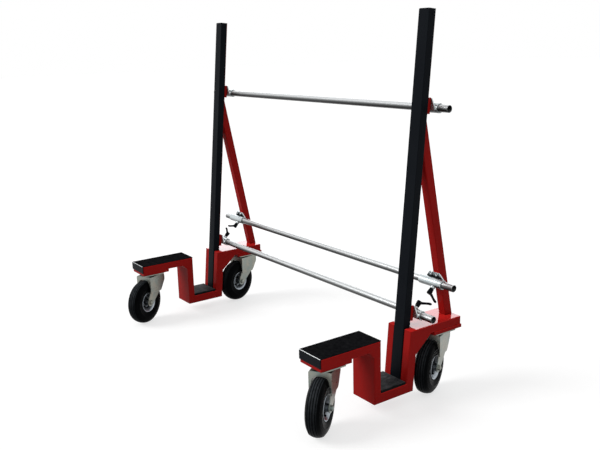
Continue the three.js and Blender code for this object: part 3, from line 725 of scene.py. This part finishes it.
def bolt_mesh(hex_radius, height, washer_radius, washer_height, stud_radius, stud_reach):
    """A washer, a chamfered hexagon and the end of a stud."""
    nut = moved(hex_mesh(hex_radius, height), shift(washer_height - NUT_SINK, 0, 0))
    ease = washer_height * 0.25
    washer = lathe([
        (0, -WASHER_SINK), (washer_radius, -WASHER_SINK), (washer_radius, washer_height - ease),
        (washer_radius - ease, washer_height), (0, washer_height),
    ], segments=40)
    top = washer_height + height + stud_reach
    stud = lathe([
        (0, 0), (stud_radius, 0), (stud_radius, top - stud_radius * 0.2), (stud_radius * 0.8, top), (0, top),
    ], segments=32)
    return shade(cleaned(join(washer, nut, stud), flat=True), angle_deg=30)


def slotted_mesh(profile, segments, slot_floor, slot_reach):
    """A turned screw head with a slot across it."""
    slot = [
        (-SLOT_HALF, -slot_reach), (SLOT_HALF, -slot_reach), (SLOT_HALF, slot_reach), (-SLOT_HALF, slot_reach),
    ]
    return shade(cut(lathe(profile, segments), prism(slot, slot_floor, SLOT_TOP)), angle_deg=30)


# Wheels, turned about X

WHEEL_RADIUS = 0.115
TREAD_EDGE = 0.0215
TREAD_EDGE_DROP = 0.0048
TREAD_CORNER = 0.0004
GROOVES = (-0.015, -0.005, 0.005, 0.015)
GROOVE_WIDTH = 0.0030
GROOVE_DEPTH = 0.0026
GROOVE_EDGE = 0.0006
RIB_ROUND = 0.0002
# Depth of the rib tops that take dust, wear and a painted highlight
WORN_AND_LIT_DEPTH = 0.0004
AXLE_RADIUS = 0.006
AXLE_REACH = 0.0433
SHANK_RADIUS = AXLE_RADIUS - 0.0001
SHANK_REACH = AXLE_REACH + 0.001
BEARING_HALF = 0.0387

# (radius, x) from the bead to the shoulder, over the moulded rings of the wall
TYRE_WALL = [
    (0.0530, 0.0264), (0.0546, 0.0282), (0.0564, 0.0289), (0.0585, 0.0290), (0.0595, 0.0296), (0.0636, 0.0307),
    (0.0708, 0.0318), (0.0776, 0.0324), (0.0783, 0.0328), (0.0803, 0.0329), (0.0810, 0.0325), (0.0860, 0.0321),
    (0.0920, 0.0309), (0.0962, 0.0295), (0.0969, 0.0298), (0.0981, 0.0295), (0.1026, 0.0269), (0.1066, 0.0240),
    (0.1086, 0.0225),
]
# (radius, x) across the foot of the tyre, inside the rim
TYRE_BED = [(0.0524, -0.0257), (0.0400, -0.0130), (0.0400, 0.0130), (0.0524, 0.0257)]
# (radius, x) from the well over the rolled lip, down the dish and out along the hub
RIM_HALF = [
    (0.0385, 0.0125), (0.0480, 0.0235), (0.0500, 0.0246), (0.0518, 0.0256), (0.0526, 0.0266), (0.0528, 0.0280),
    (0.0524, 0.0292), (0.0512, 0.0299), (0.0496, 0.0296), (0.0476, 0.0280), (0.0456, 0.0252), (0.0362, 0.0150),
    (0.0352, 0.0125), (0.0348, 0.0065), (0.0336, 0.0043), (0.0312, 0.0031), (0.0255, 0.0031), (0.0225, 0.0038),
    (0.0195, 0.0054), (0.0168, 0.0070), (0.0160, 0.0095), (0.0160, 0.0352), (0.0152, 0.0360), (0.0119, 0.0360),
]
# (radius, depth from the end face) of a bearing's end, with its seal groove
BEARING_END = [
    (0.0066, 0), (0.0107, 0), (0.0115, 0.0008), (0.0115, 0.0022), (0.0111, 0.0026), (0.0111, 0.0034),
    (0.0115, 0.0038),
]
# (radius, x) of a valve stem with its cap
VALVE = [
    (0, -0.004), (0.0046, -0.004), (0.0042, 0.0), (0.0036, 0.004), (0.0030, 0.0065), (0.0030, 0.0085),
    (0.0040, 0.0092), (0.0040, 0.0150), (0.0034, 0.0166), (0, 0.0170),
]


def tread_radius(x):
    return WHEEL_RADIUS - TREAD_EDGE_DROP * (x / TREAD_EDGE) ** 2


def groove_profile(middle):
    """The points across one groove of the tread, from +X to -X."""
    half = GROOVE_WIDTH / 2
    floor = tread_radius(middle)
    brim = [(half + GROOVE_EDGE, 0), (half + GROOVE_EDGE / 3, RIB_ROUND)]
    bed = [(half * 0.75, GROOVE_DEPTH * 0.8), (half * 0.4, GROOVE_DEPTH)]
    points = []
    for sign in (1, -1):
        side = [(tread_radius(middle + sign * x) - drop, middle + sign * x) for x, drop in brim]
        side += [(floor - drop, middle + sign * x) for x, drop in bed]
        points += side[::sign]
    return points


def tyre_mesh():
    """A tyre with grooves round its tread. The tops of its ribs are marked for dust and wear and a painted
    highlight.
    """
    shoulder = (tread_radius(TREAD_EDGE) - TREAD_CORNER, TREAD_EDGE + TREAD_CORNER)
    tread = [shoulder]
    for middle in reversed(GROOVES):
        tread += groove_profile(middle)
    tread += mirrored([shoulder])
    mesh = lathe(TYRE_WALL + tread + mirrored(TYRE_WALL) + TYRE_BED, segments=144, name="tyre")
    worn = mesh.attributes.new(WORN_AND_LIT, "FLOAT", "POINT")
    for vertex, value in zip(mesh.vertices, worn.data):
        x, y, z = vertex.co
        on_rib = abs(x) < TREAD_EDGE and math.hypot(y, z) > tread_radius(x) - WORN_AND_LIT_DEPTH
        value.value = 1.0 if on_rib else 0.0
    return shade(mesh, angle_deg=40)


def rim_mesh():
    return shade(lathe(RIM_HALF + mirrored(RIM_HALF), segments=96, name="rim"), angle_deg=38)


def bearing_mesh():
    end = [(radius, BEARING_HALF - depth) for radius, depth in BEARING_END]
    return shade(lathe(end + mirrored(end), segments=48, name="bearing"), angle_deg=30)


def axle_mesh():
    """A shank with a washer, a hexagon and a stud's end on each side."""
    end = bolt_mesh(
        hex_radius=0.0108, height=0.0066, washer_radius=0.0125, washer_height=0.0014, stud_radius=AXLE_RADIUS,
        stud_reach=0.0022,
    )
    shank = rod(SHANK_RADIUS, -SHANK_REACH, SHANK_REACH)
    right = moved(end, shift(AXLE_REACH, 0, 0))
    left = moved(end, shift(-AXLE_REACH, 0, 0) @ turn(math.pi, "Z"))
    return shade(cleaned(join(shank, right, left), flat=True), angle_deg=30)


# Forks, about their king pin's axis Z, with the wheel's axle along X at Y = -TRAIL

TRAIL = 0.060
FORK_HALF = 0.046
FORK_SHEET = 0.004
FORK_STEP = 0.003
FORK_BEND = 0.007
FORK_EASE = 0.0007
FORK_FRONT = -TRAIL + 0.005
FORK_REAR = -TRAIL + 0.126
CROWN_TOP = 0.253183
CROWN_BOTTOM = CROWN_TOP - FORK_SHEET
SHOULDER = CROWN_BOTTOM - 0.027
CHEEK_LOW = 0.160
CHEEK_HEEL = -TRAIL + 0.090
LUG_HIGH = 0.173
LUG_HEEL = -TRAIL + 0.097
LUG_FRONT_GAP = 0.0005
LUG_RADIUS = 0.020
LUG_START_DEG = 160
LUG_END_DEG = 308
LUG_STEPS = 20
LIP_LOW = CROWN_TOP - 0.058
LIP_FOOT_RADIUS = 0.003
KING_PIN_HOLE = 0.0084
AXLE_HOLE = AXLE_RADIUS + 0.0003
# Tools reach past the sheet that they cut
CUT_REACH = 0.1
PIN_CUT_REACH = 0.02
SHELL_FOOT = 0.10
INSIDE_FOOT = 0.05
CHEEK_CORNER = 0.002

# (y, z) round a cheek, most with the radius of their corner
CHEEK = [
    (FORK_FRONT, CROWN_TOP + 0.02),
    (FORK_FRONT, CHEEK_LOW, 0.004),
    (CHEEK_HEEL, CHEEK_LOW, 0.010),
    (FORK_REAR - 0.027, SHOULDER - 0.051, 0.012),
    (FORK_REAR, SHOULDER - 0.009, 0.012),
    (FORK_REAR, SHOULDER + 0.013, 0.014),
    (FORK_REAR - 0.009, CROWN_TOP, 0.004),
    (FORK_REAR - 0.010, CROWN_TOP + 0.02),
]
# (x, z) from the middle of the arched opening in the lip to the lip's lower edge
LIP_ARCH = [
    (0.0, 0.2334), (0.0150, 0.2328), (0.0245, 0.2302), (0.0315, 0.2222), (0.0355, 0.2070),
    (0.0385, LIP_LOW - 0.002),
]


def portal(half, foot, top, bend, foot_radius=0):
    """The (x, z) outline of a portal with a rounded top."""
    return rounded([
        (-half, foot, foot_radius), (half, foot, foot_radius), (half, top, bend), (-half, top, bend),
    ], 0)


def fork_channel():
    """The folded sheet: a crown with two cheeks."""
    side = prism(rounded(CHEEK, CHEEK_CORNER), -CUT_REACH, CUT_REACH)
    shell = portal(FORK_HALF, SHELL_FOOT, CROWN_TOP, FORK_BEND)
    inside = portal(FORK_HALF - FORK_SHEET, INSIDE_FOOT, CROWN_BOTTOM, FORK_BEND - FORK_SHEET)
    folded = cut(
        prism(shell, FORK_FRONT - 0.02, FORK_REAR + 0.001, "Y"),
        prism(inside, -2 * CUT_REACH, 2 * CUT_REACH, "Y"),
    )
    return common(folded, side)


def fork_lip():
    """The front plate, with its arched opening over the tyre."""
    arch = smooth_line(LIP_ARCH, steps=5)
    opening = arch + [(-x, z) for x, z in reversed(arch[1:])]
    plate = portal(FORK_HALF, LIP_LOW, CROWN_TOP, FORK_BEND, LIP_FOOT_RADIUS)
    return cut(
        prism(plate, FORK_FRONT, FORK_FRONT + FORK_SHEET, "Y"),
        prism(opening, FORK_FRONT - 0.01, FORK_FRONT + 0.02, "Y"),
    )


def fork_lug(sign):
    """One axle lug, set in from its cheek."""
    start, end = math.radians(LUG_START_DEG), math.radians(LUG_END_DEG)
    outline = []
    for k in range(LUG_STEPS + 1):
        a = start + (end - start) * k / LUG_STEPS
        outline.append((-TRAIL + LUG_RADIUS * math.cos(a), WHEEL_RADIUS + LUG_RADIUS * math.sin(a)))
    outline += [(LUG_HEEL, LUG_HIGH), (FORK_FRONT + LUG_FRONT_GAP, LUG_HIGH)]
    faces = (sign * (FORK_HALF - FORK_STEP - FORK_SHEET), sign * (FORK_HALF - FORK_STEP))
    return prism(outline, min(faces), max(faces))


def fork_mesh():
    """The channel with its lip and lugs, bored for its king pin and its axle."""
    body = join(fork_channel(), fork_lip(), fork_lug(-1), fork_lug(1))
    pin = rod(KING_PIN_HOLE, -PIN_CUT_REACH, PIN_CUT_REACH, segments=40)
    pin = moved(pin, shift(0, 0, CROWN_TOP) @ turn(math.pi / 2, "Y"))
    axle = moved(rod(AXLE_HOLE, -CUT_REACH, CUT_REACH), shift(0, -TRAIL, WHEEL_RADIUS))
    return eased(cut(body, pin, axle), FORK_EASE, segments=2, angle_deg=40)


# Where the casters' fasteners sit

RIM_BOLTS = 5
RIM_BOLT_CIRCLE = 0.0262
RIM_BOLT_SEAT = 0.0029
RIM_BOLT_TURN = 0.3
VALVE_TURN = 1.9
VALVE_CIRCLE = 0.0410
VALVE_SEAT = 0.0195
PLATE_THICKNESS = 0.005
PLATE_BOLT_X = 0.054
PLATE_BOLT_Y = 0.041


def make_casters():
    """The wheels with their bolts and valves, and the forks with their axles and plate bolts."""
    tyre, rim, bearing, axle, fork = tyre_mesh(), rim_mesh(), bearing_mesh(), axle_mesh(), fork_mesh()
    valve = shade(lathe(VALVE, segments=24, name="valve"), angle_deg=35)
    rim_bolt = bolt_mesh(
        hex_radius=0.0044, height=0.0036, washer_radius=0.0053, washer_height=0.0008, stud_radius=0.0026,
        stud_reach=0.0012,
    )
    plate_bolt = shade(lathe(PLATE_BOLT, segments=32), angle_deg=40)
    for name in CASTERS:
        wheel, carrier = f"{name}_wheel", f"{name}_caster"
        roll, swivel = JOINTS[f"{name}_roll"], JOINTS[f"{name}_swivel"]
        axis = Vector(roll["axis"]).normalized()
        at = turned_to(axis, roll["pos_m"])
        piece(f"{name}_tyre_fine", tyre, at, wheel, "tyre_rubber", [f"{name}_tyre"])
        piece(f"{name}_rim_fine", rim, at, wheel, "rim_steel", [f"{name}_rim"])
        piece(f"{name}_bearing_fine", bearing, at, wheel, "rim_steel", [f"{name}_wheel_bearing"])
        for half, face in (("outer", at), ("inner", at @ turn(math.pi, "Z"))):
            for k in range(RIM_BOLTS):
                spoke = turn(2 * math.pi * k / RIM_BOLTS + RIM_BOLT_TURN, "X")
                seat = face @ spoke @ shift(RIM_BOLT_SEAT, 0, RIM_BOLT_CIRCLE)
                piece(f"{name}_rim_bolt_{half}_{k + 1}", rim_bolt, seat, wheel, "zinc")
        stem = at @ turn(VALVE_TURN, "X") @ shift(VALVE_SEAT, 0, VALVE_CIRCLE)
        piece(f"{name}_valve", valve, stem, wheel, "black_rubber")
        pin_x, pin_y, _ = swivel["pos_m"]
        at_swivel = shift(pin_x, pin_y, 0) @ turn(math.atan2(axis.y, axis.x), "Z")
        piece(f"{name}_fork_fine", fork, at_swivel, carrier, "zinc", [f"{name}_fork"])
        piece(f"{name}_axle_fine", axle, at, carrier, "zinc", [f"{name}_axle"])
        body = name.split("_")[1] + "_frame"
        low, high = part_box(f"{name}_swivel_plate")
        middle = (low + high) / 2
        for k, (x, y) in enumerate(((-1, -1), (1, -1), (1, 1), (-1, 1))):
            spot = (middle.x + x * PLATE_BOLT_X, middle.y + y * PLATE_BOLT_Y, high.z - PLATE_THICKNESS)
            piece(f"{name}_plate_bolt_{k + 1}", plate_bolt, turned_to((0, 0, -1), spot), body, "zinc")


# Tubes, sleeves and clamps

TUBE_RADIUS = 0.015
TUBE_BORE = 0.0125
TUBE_EASE = 0.0008
SLEEVE_BORE = 0.0154
SLEEVE_RADIUS = 0.0194
SLEEVE_EASE = 0.0006
FLANGE_NEAR = 0.0174
FLANGE_FAR = 0.0224
FLANGE_ABOVE = 0.037
FLANGE_BELOW = 0.010
FLANGE_WAIST = 0.002
FLANGE_TOP_HALF = 0.027
FLANGE_END_INSET = 0.008
BOLT_RISE = 0.027
BOLT_HALF_PITCH = 0.0155
BOSS_RADIUS = 0.0100
BOSS_HEIGHT = 0.008
SCREW_HOLE = 0.0054
SCREW_HOLE_REACH = 0.06
LEVER_BOTTOM = SLEEVE_RADIUS + BOSS_HEIGHT + 0.0025
LEVER_TOP = LEVER_BOTTOM + 0.026
LEVER_BORE_TOP = LEVER_BOTTOM + 0.0153
LEVER_CAP_DEPTH = 0.0012
LEVER_AROUND = 28
LEVER_SQUARENESS = 0.7
LEVER_TIP_DEPTH = 0.0004
BRACE_TOP_DEPTH = 0.001

# Along a lever's arm: distance from its screw, height over the hub's top, half width and half depth
LEVER_ARM = [
    (0.0000, -0.0070, 0.0060, 0.0052),
    (0.0080, -0.0066, 0.0062, 0.0054),
    (0.0160, -0.0056, 0.0056, 0.0052),
    (0.0250, -0.0034, 0.0050, 0.0047),
    (0.0360, -0.0006, 0.0049, 0.0045),
    (0.0470, 0.0020, 0.0052, 0.0046),
    (0.0550, 0.0030, 0.0055, 0.0048),
    (0.0600, 0.0031, 0.0050, 0.0043),
    (0.0623, 0.0031, 0.0035, 0.0030),
    (0.0630, 0.0031, 0.0015, 0.0013),
]


def sleeve_mesh(length, flange_turn, screw):
    """A sleeve along X about the origin, its flange towards +Y before the turn. A screw brings a boss."""
    wide = length / 2 - FLANGE_END_INSET
    outline = rounded([
        (-wide, -FLANGE_BELOW, 0.003), (wide, -FLANGE_BELOW, 0.003), (wide, FLANGE_WAIST, 0.004),
        (FLANGE_TOP_HALF, FLANGE_ABOVE, 0.006), (-FLANGE_TOP_HALF, FLANGE_ABOVE, 0.006),
        (-wide, FLANGE_WAIST, 0.004),
    ], 0)
    flange = eased(prism(outline, FLANGE_NEAR, FLANGE_FAR, "Y"), SLEEVE_EASE, segments=3, angle_deg=40)
    made = join(hollow(SLEEVE_RADIUS, SLEEVE_BORE, length, SLEEVE_EASE), moved(flange, flange_turn))
    if screw is not None:
        boss = hex_mesh(BOSS_RADIUS, SLEEVE_RADIUS + BOSS_HEIGHT - SLEEVE_BORE)
        boss = moved(boss, shift(SLEEVE_BORE, 0, 0))
        hole = rod(SCREW_HOLE, 0, SCREW_HOLE_REACH)
        made = cut(join(made, moved(boss, screw)), moved(hole, screw))
    return levelled(shade(cleaned(made, flat=True), angle_deg=42))


def lever_arm():
    """The arm as a row of squarish oval rings."""
    bm = bmesh.new()
    rings = []
    for x, rise, half_width, half_depth in LEVER_ARM:
        ring = []
        for k in range(LEVER_AROUND):
            a = 2 * math.pi * k / LEVER_AROUND
            across = math.copysign(abs(math.cos(a)) ** LEVER_SQUARENESS, math.cos(a))
            along = math.copysign(abs(math.sin(a)) ** LEVER_SQUARENESS, math.sin(a))
            ring.append(bm.verts.new((x, half_width * across, LEVER_TOP + rise + half_depth * along)))
        rings.append(ring)
    bm.faces.new(rings[0])
    bm.faces.new(rings[-1])
    for near, far in zip(rings, rings[1:]):
        for k in range(LEVER_AROUND):
            j = (k + 1) % LEVER_AROUND
            bm.faces.new((near[k], near[j], far[j], far[k]))
    return to_mesh(bm, "arm")


def lever_mesh():
    """Clamp lever about its screw axis: Z away from the tube, the arm along X."""
    low, top = LEVER_BOTTOM, LEVER_TOP
    upright = turn(-math.pi / 2, "Y")
    hub = lathe([
        (0, low), (0.0084, low), (0.0092, low + 0.0008), (0.0098, low + 0.006), (0.0110, top - 0.0075),
        (0.0110, top - 0.0030), (0.0100, top - 0.0010), (0.0085, top), (0.0042, top),
        (0.0040, top - LEVER_CAP_DEPTH), (0, top - LEVER_CAP_DEPTH),
    ], segments=48)
    bore = rod(SCREW_HOLE, 0, LEVER_BORE_TOP)
    return shade(cut(join(moved(hub, upright), lever_arm()), moved(bore, upright)), angle_deg=38)


def lever_frame(node, joint):
    """The lever's own frame: Z along its screw, X towards the far end of its arm."""
    origin, axis = Vector(joint["pos_m"]), Vector(joint["axis"]).normalized()
    offsets = [vertex.co - origin for vertex in SOLIDS[node].data.vertices]
    across = [offset - axis * offset.dot(axis) for offset in offsets]
    reach = max(point.length for point in across)
    # The arm's tip is level across, so its furthest corners average to its middle
    tips = [point for point in across if point.length > reach - LEVER_TIP_DEPTH]
    x = sum(tips, Vector()).normalized()
    axes = Matrix((x, axis.cross(x), axis)).transposed()
    return Matrix.Translation(origin) @ axes.to_4x4()


def post_lean():
    """The angle at which the posts lean back."""
    normal = Vector(next(m for m in frame["record"]["mounts"] if m["name"] == "left_post_face")["axis"])
    return math.atan2(normal.z, -normal.y)


def brace_lean():
    """The angle at which the braces lean forward."""
    low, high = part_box("left_brace")
    points = [vertex.co for vertex in SOLIDS["left_brace"].data.vertices]
    foot = max(p.y for p in points)
    head = max(p.y for p in points if p.z > high.z - BRACE_TOP_DEPTH)
    return math.atan((foot - head) / (high.z - low.z))


def make_tubes():
    """The tubes, their sleeves with two flange bolts each, and the clamp levers."""
    at_post = turn(-post_lean(), "X") @ turn(math.pi, "Z")
    at_brace = turn(brace_lean(), "X")
    flange_turns = {"upper": at_post, "middle": at_brace, "lower": at_post}
    flange_bolt = bolt_mesh(
        hex_radius=0.0062, height=0.0048, washer_radius=0.0072, washer_height=0.0012, stud_radius=0.0038,
        stud_reach=0.0016,
    )
    lever = lever_mesh()
    cap_screw = slotted_mesh(CAP_SCREW, segments=28, slot_floor=0.0012, slot_reach=0.005)
    for level in LEVELS:
        low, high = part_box(f"{level}_tube")
        centre = (low + high) / 2
        tube = shade(hollow(TUBE_RADIUS, TUBE_BORE, high.x - low.x, TUBE_EASE), angle_deg=30)
        piece(f"{level}_tube_fine", tube, shift(*centre), f"{level}_tube", "galvanised", [f"{level}_tube"])
        flange_turn = flange_turns[level]
        for side in SIDES:
            body, node = f"{side}_frame", f"{side}_{level}_sleeve"
            low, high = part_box(node)
            middle = (low.x + high.x) / 2
            at = shift(middle, centre.y, centre.z)
            joint = JOINTS[f"{side}_{level}_lever_turn"] if level in CLAMPED else None
            screw = None
            if joint:
                screw = shift(joint["pos_m"][0] - middle, 0, 0) @ turned_to(joint["axis"], (0, 0, 0))
            sleeve = sleeve_mesh(high.x - low.x, flange_turn, screw)
            piece(f"{node}_fine", sleeve, at, body, "bright_zinc", [node])
            for k, x in enumerate((-BOLT_HALF_PITCH, BOLT_HALF_PITCH)):
                seat = at @ flange_turn @ shift(x, FLANGE_NEAR, BOLT_RISE) @ turn(-math.pi / 2, "Z")
                piece(f"{node}_bolt_{k + 1}", flange_bolt, seat, body, "bright_zinc")
            if joint:
                clamp, node = f"{side}_{level}_clamp", f"{side}_{level}_lever"
                at_lever = lever_frame(node, joint)
                piece(f"{node}_fine", lever, at_lever, clamp, "black_plastic", [node])
                seat = at_lever @ shift(0, 0, LEVER_TOP - LEVER_CAP_DEPTH) @ turn(-math.pi / 2, "Y")
                piece(f"{node}_cap_screw", cap_screw, seat, clamp, "bright_zinc")


# Solids that stay, with finer edges and their finish

KEPT_WELD = 0.00002
KEPT_FLAT_DEG = 0.6
KEPT_SHARP_DEG = 25
SCREW_EDGE = 0.0003
PLATE_EDGE = 0.0006

# Each frame's solids: slot and the rounding of their edges
KEPT = {
    "base_frame": ("red_paint", 0.0016),
    "post": ("red_paint", 0.0012),
    "brace": ("red_paint", 0.0012),
    "upper_bracket": ("red_paint", 0.0010),
    "lower_bracket": ("red_paint", 0.0010),
    "arm_pad": ("black_rubber", 0.0004),
    "arm_end_cap": ("black_plastic", 0.0006),
    "channel_mat": ("grey_rubber", 0.0006),
    "post_cover": ("black_plastic", 0.0007),
}


def dress(node, slot, ease):
    """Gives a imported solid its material, whole flat faces and rounded edges."""
    thing = SOLIDS[node]
    mesh = thing.data
    mesh.materials.clear()
    mesh.materials.append(MATERIALS[slot])
    if "custom_normal" in mesh.attributes:
        mesh.attributes.remove(mesh.attributes["custom_normal"])
    shade_smooth(mesh)
    weld = thing.modifiers.new("weld", "WELD")
    weld.merge_threshold = KEPT_WELD
    flat = thing.modifiers.new("flat", "DECIMATE")
    flat.decimate_type = "DISSOLVE"
    flat.angle_limit = math.radians(KEPT_FLAT_DEG)
    add_bevel(thing, ease, segments=2, angle_deg=KEPT_SHARP_DEG)


def make_kept():
    """The frames' solids, the levers' screws and the casters' top plates."""
    for side in SIDES:
        for name, (slot, ease) in KEPT.items():
            dress(f"{side}_{name}", slot, ease)
        for level in CLAMPED:
            dress(f"{side}_{level}_lever_screw", "bright_zinc", SCREW_EDGE)
        for end in ENDS:
            dress(f"{end}_{side}_swivel_plate", "zinc", PLATE_EDGE)


# Trim: bright strips as a painted highlight, and cover screws

STRIP_WALL = 0.0003
STRIP_REACH = 0.0016
STRIP_CUT = 0.0010
STRIP_OUTER_CUT = 0.0009
STRIP_EASE = 0.0001
STRIP_END_GAP = 0.001
COVER_SCREW_BACK = 0.021
COVER_SCREW_DOWN = 0.022


def make_highlight_strips():
    """A bright metal strip along the top front edge of each arm's end cap, as a painted highlight of the cap's
    glossy edge.
    """
    for side in SIDES:
        low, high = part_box(f"{side}_arm_end_cap")
        half = (high.x - low.x) / 2 - STRIP_END_GAP
        y, z = low.y, high.z
        outline = [
            (y - STRIP_WALL, z - STRIP_REACH), (y, z - STRIP_REACH), (y, z - STRIP_CUT), (y + STRIP_CUT, z),
            (y + STRIP_REACH, z), (y + STRIP_REACH, z + STRIP_WALL), (y + STRIP_OUTER_CUT, z + STRIP_WALL),
            (y - STRIP_WALL, z - STRIP_OUTER_CUT),
        ]
        strip = eased(prism(outline, -half, half), STRIP_EASE, segments=2, angle_deg=20)
        piece(f"{side}_highlight_strip", strip, shift((low.x + high.x) / 2, 0, 0), f"{side}_frame", "galvanised")


def make_cover_screws():
    """A pan-head screw high on each side of each post cover."""
    head = slotted_mesh(COVER_SCREW, segments=32, slot_floor=0.0013, slot_reach=0.006)
    for side in SIDES:
        low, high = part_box(f"{side}_post_cover")
        for word, sign, x in (("outer", 1, high.x), ("inner", -1, low.x)):
            seat = turned_to((sign, 0, 0), (x, high.y - COVER_SCREW_BACK, high.z - COVER_SCREW_DOWN))
            piece(f"{side}_cover_screw_{word}", head, seat, f"{side}_frame", "black_plastic")


make_camera()
make_floor()
make_world()
sun("key", strength=2.1, spread_deg=30, towards=(0.5, 0.85, -0.72))
sun("fill", strength=0.15, spread_deg=60, towards=(-0.8, 0.25, -0.5))
softbox("backlight", at=(-3.75, 3.15, 1.95), aim=(0, 0.3, 0.4), width=4.4, height=1.7, radiance=1.8)
make_kept()
make_casters()
make_tubes()
make_highlight_strips()
make_cover_screws()

bpy.context.scene.view_settings.view_transform = "Standard"
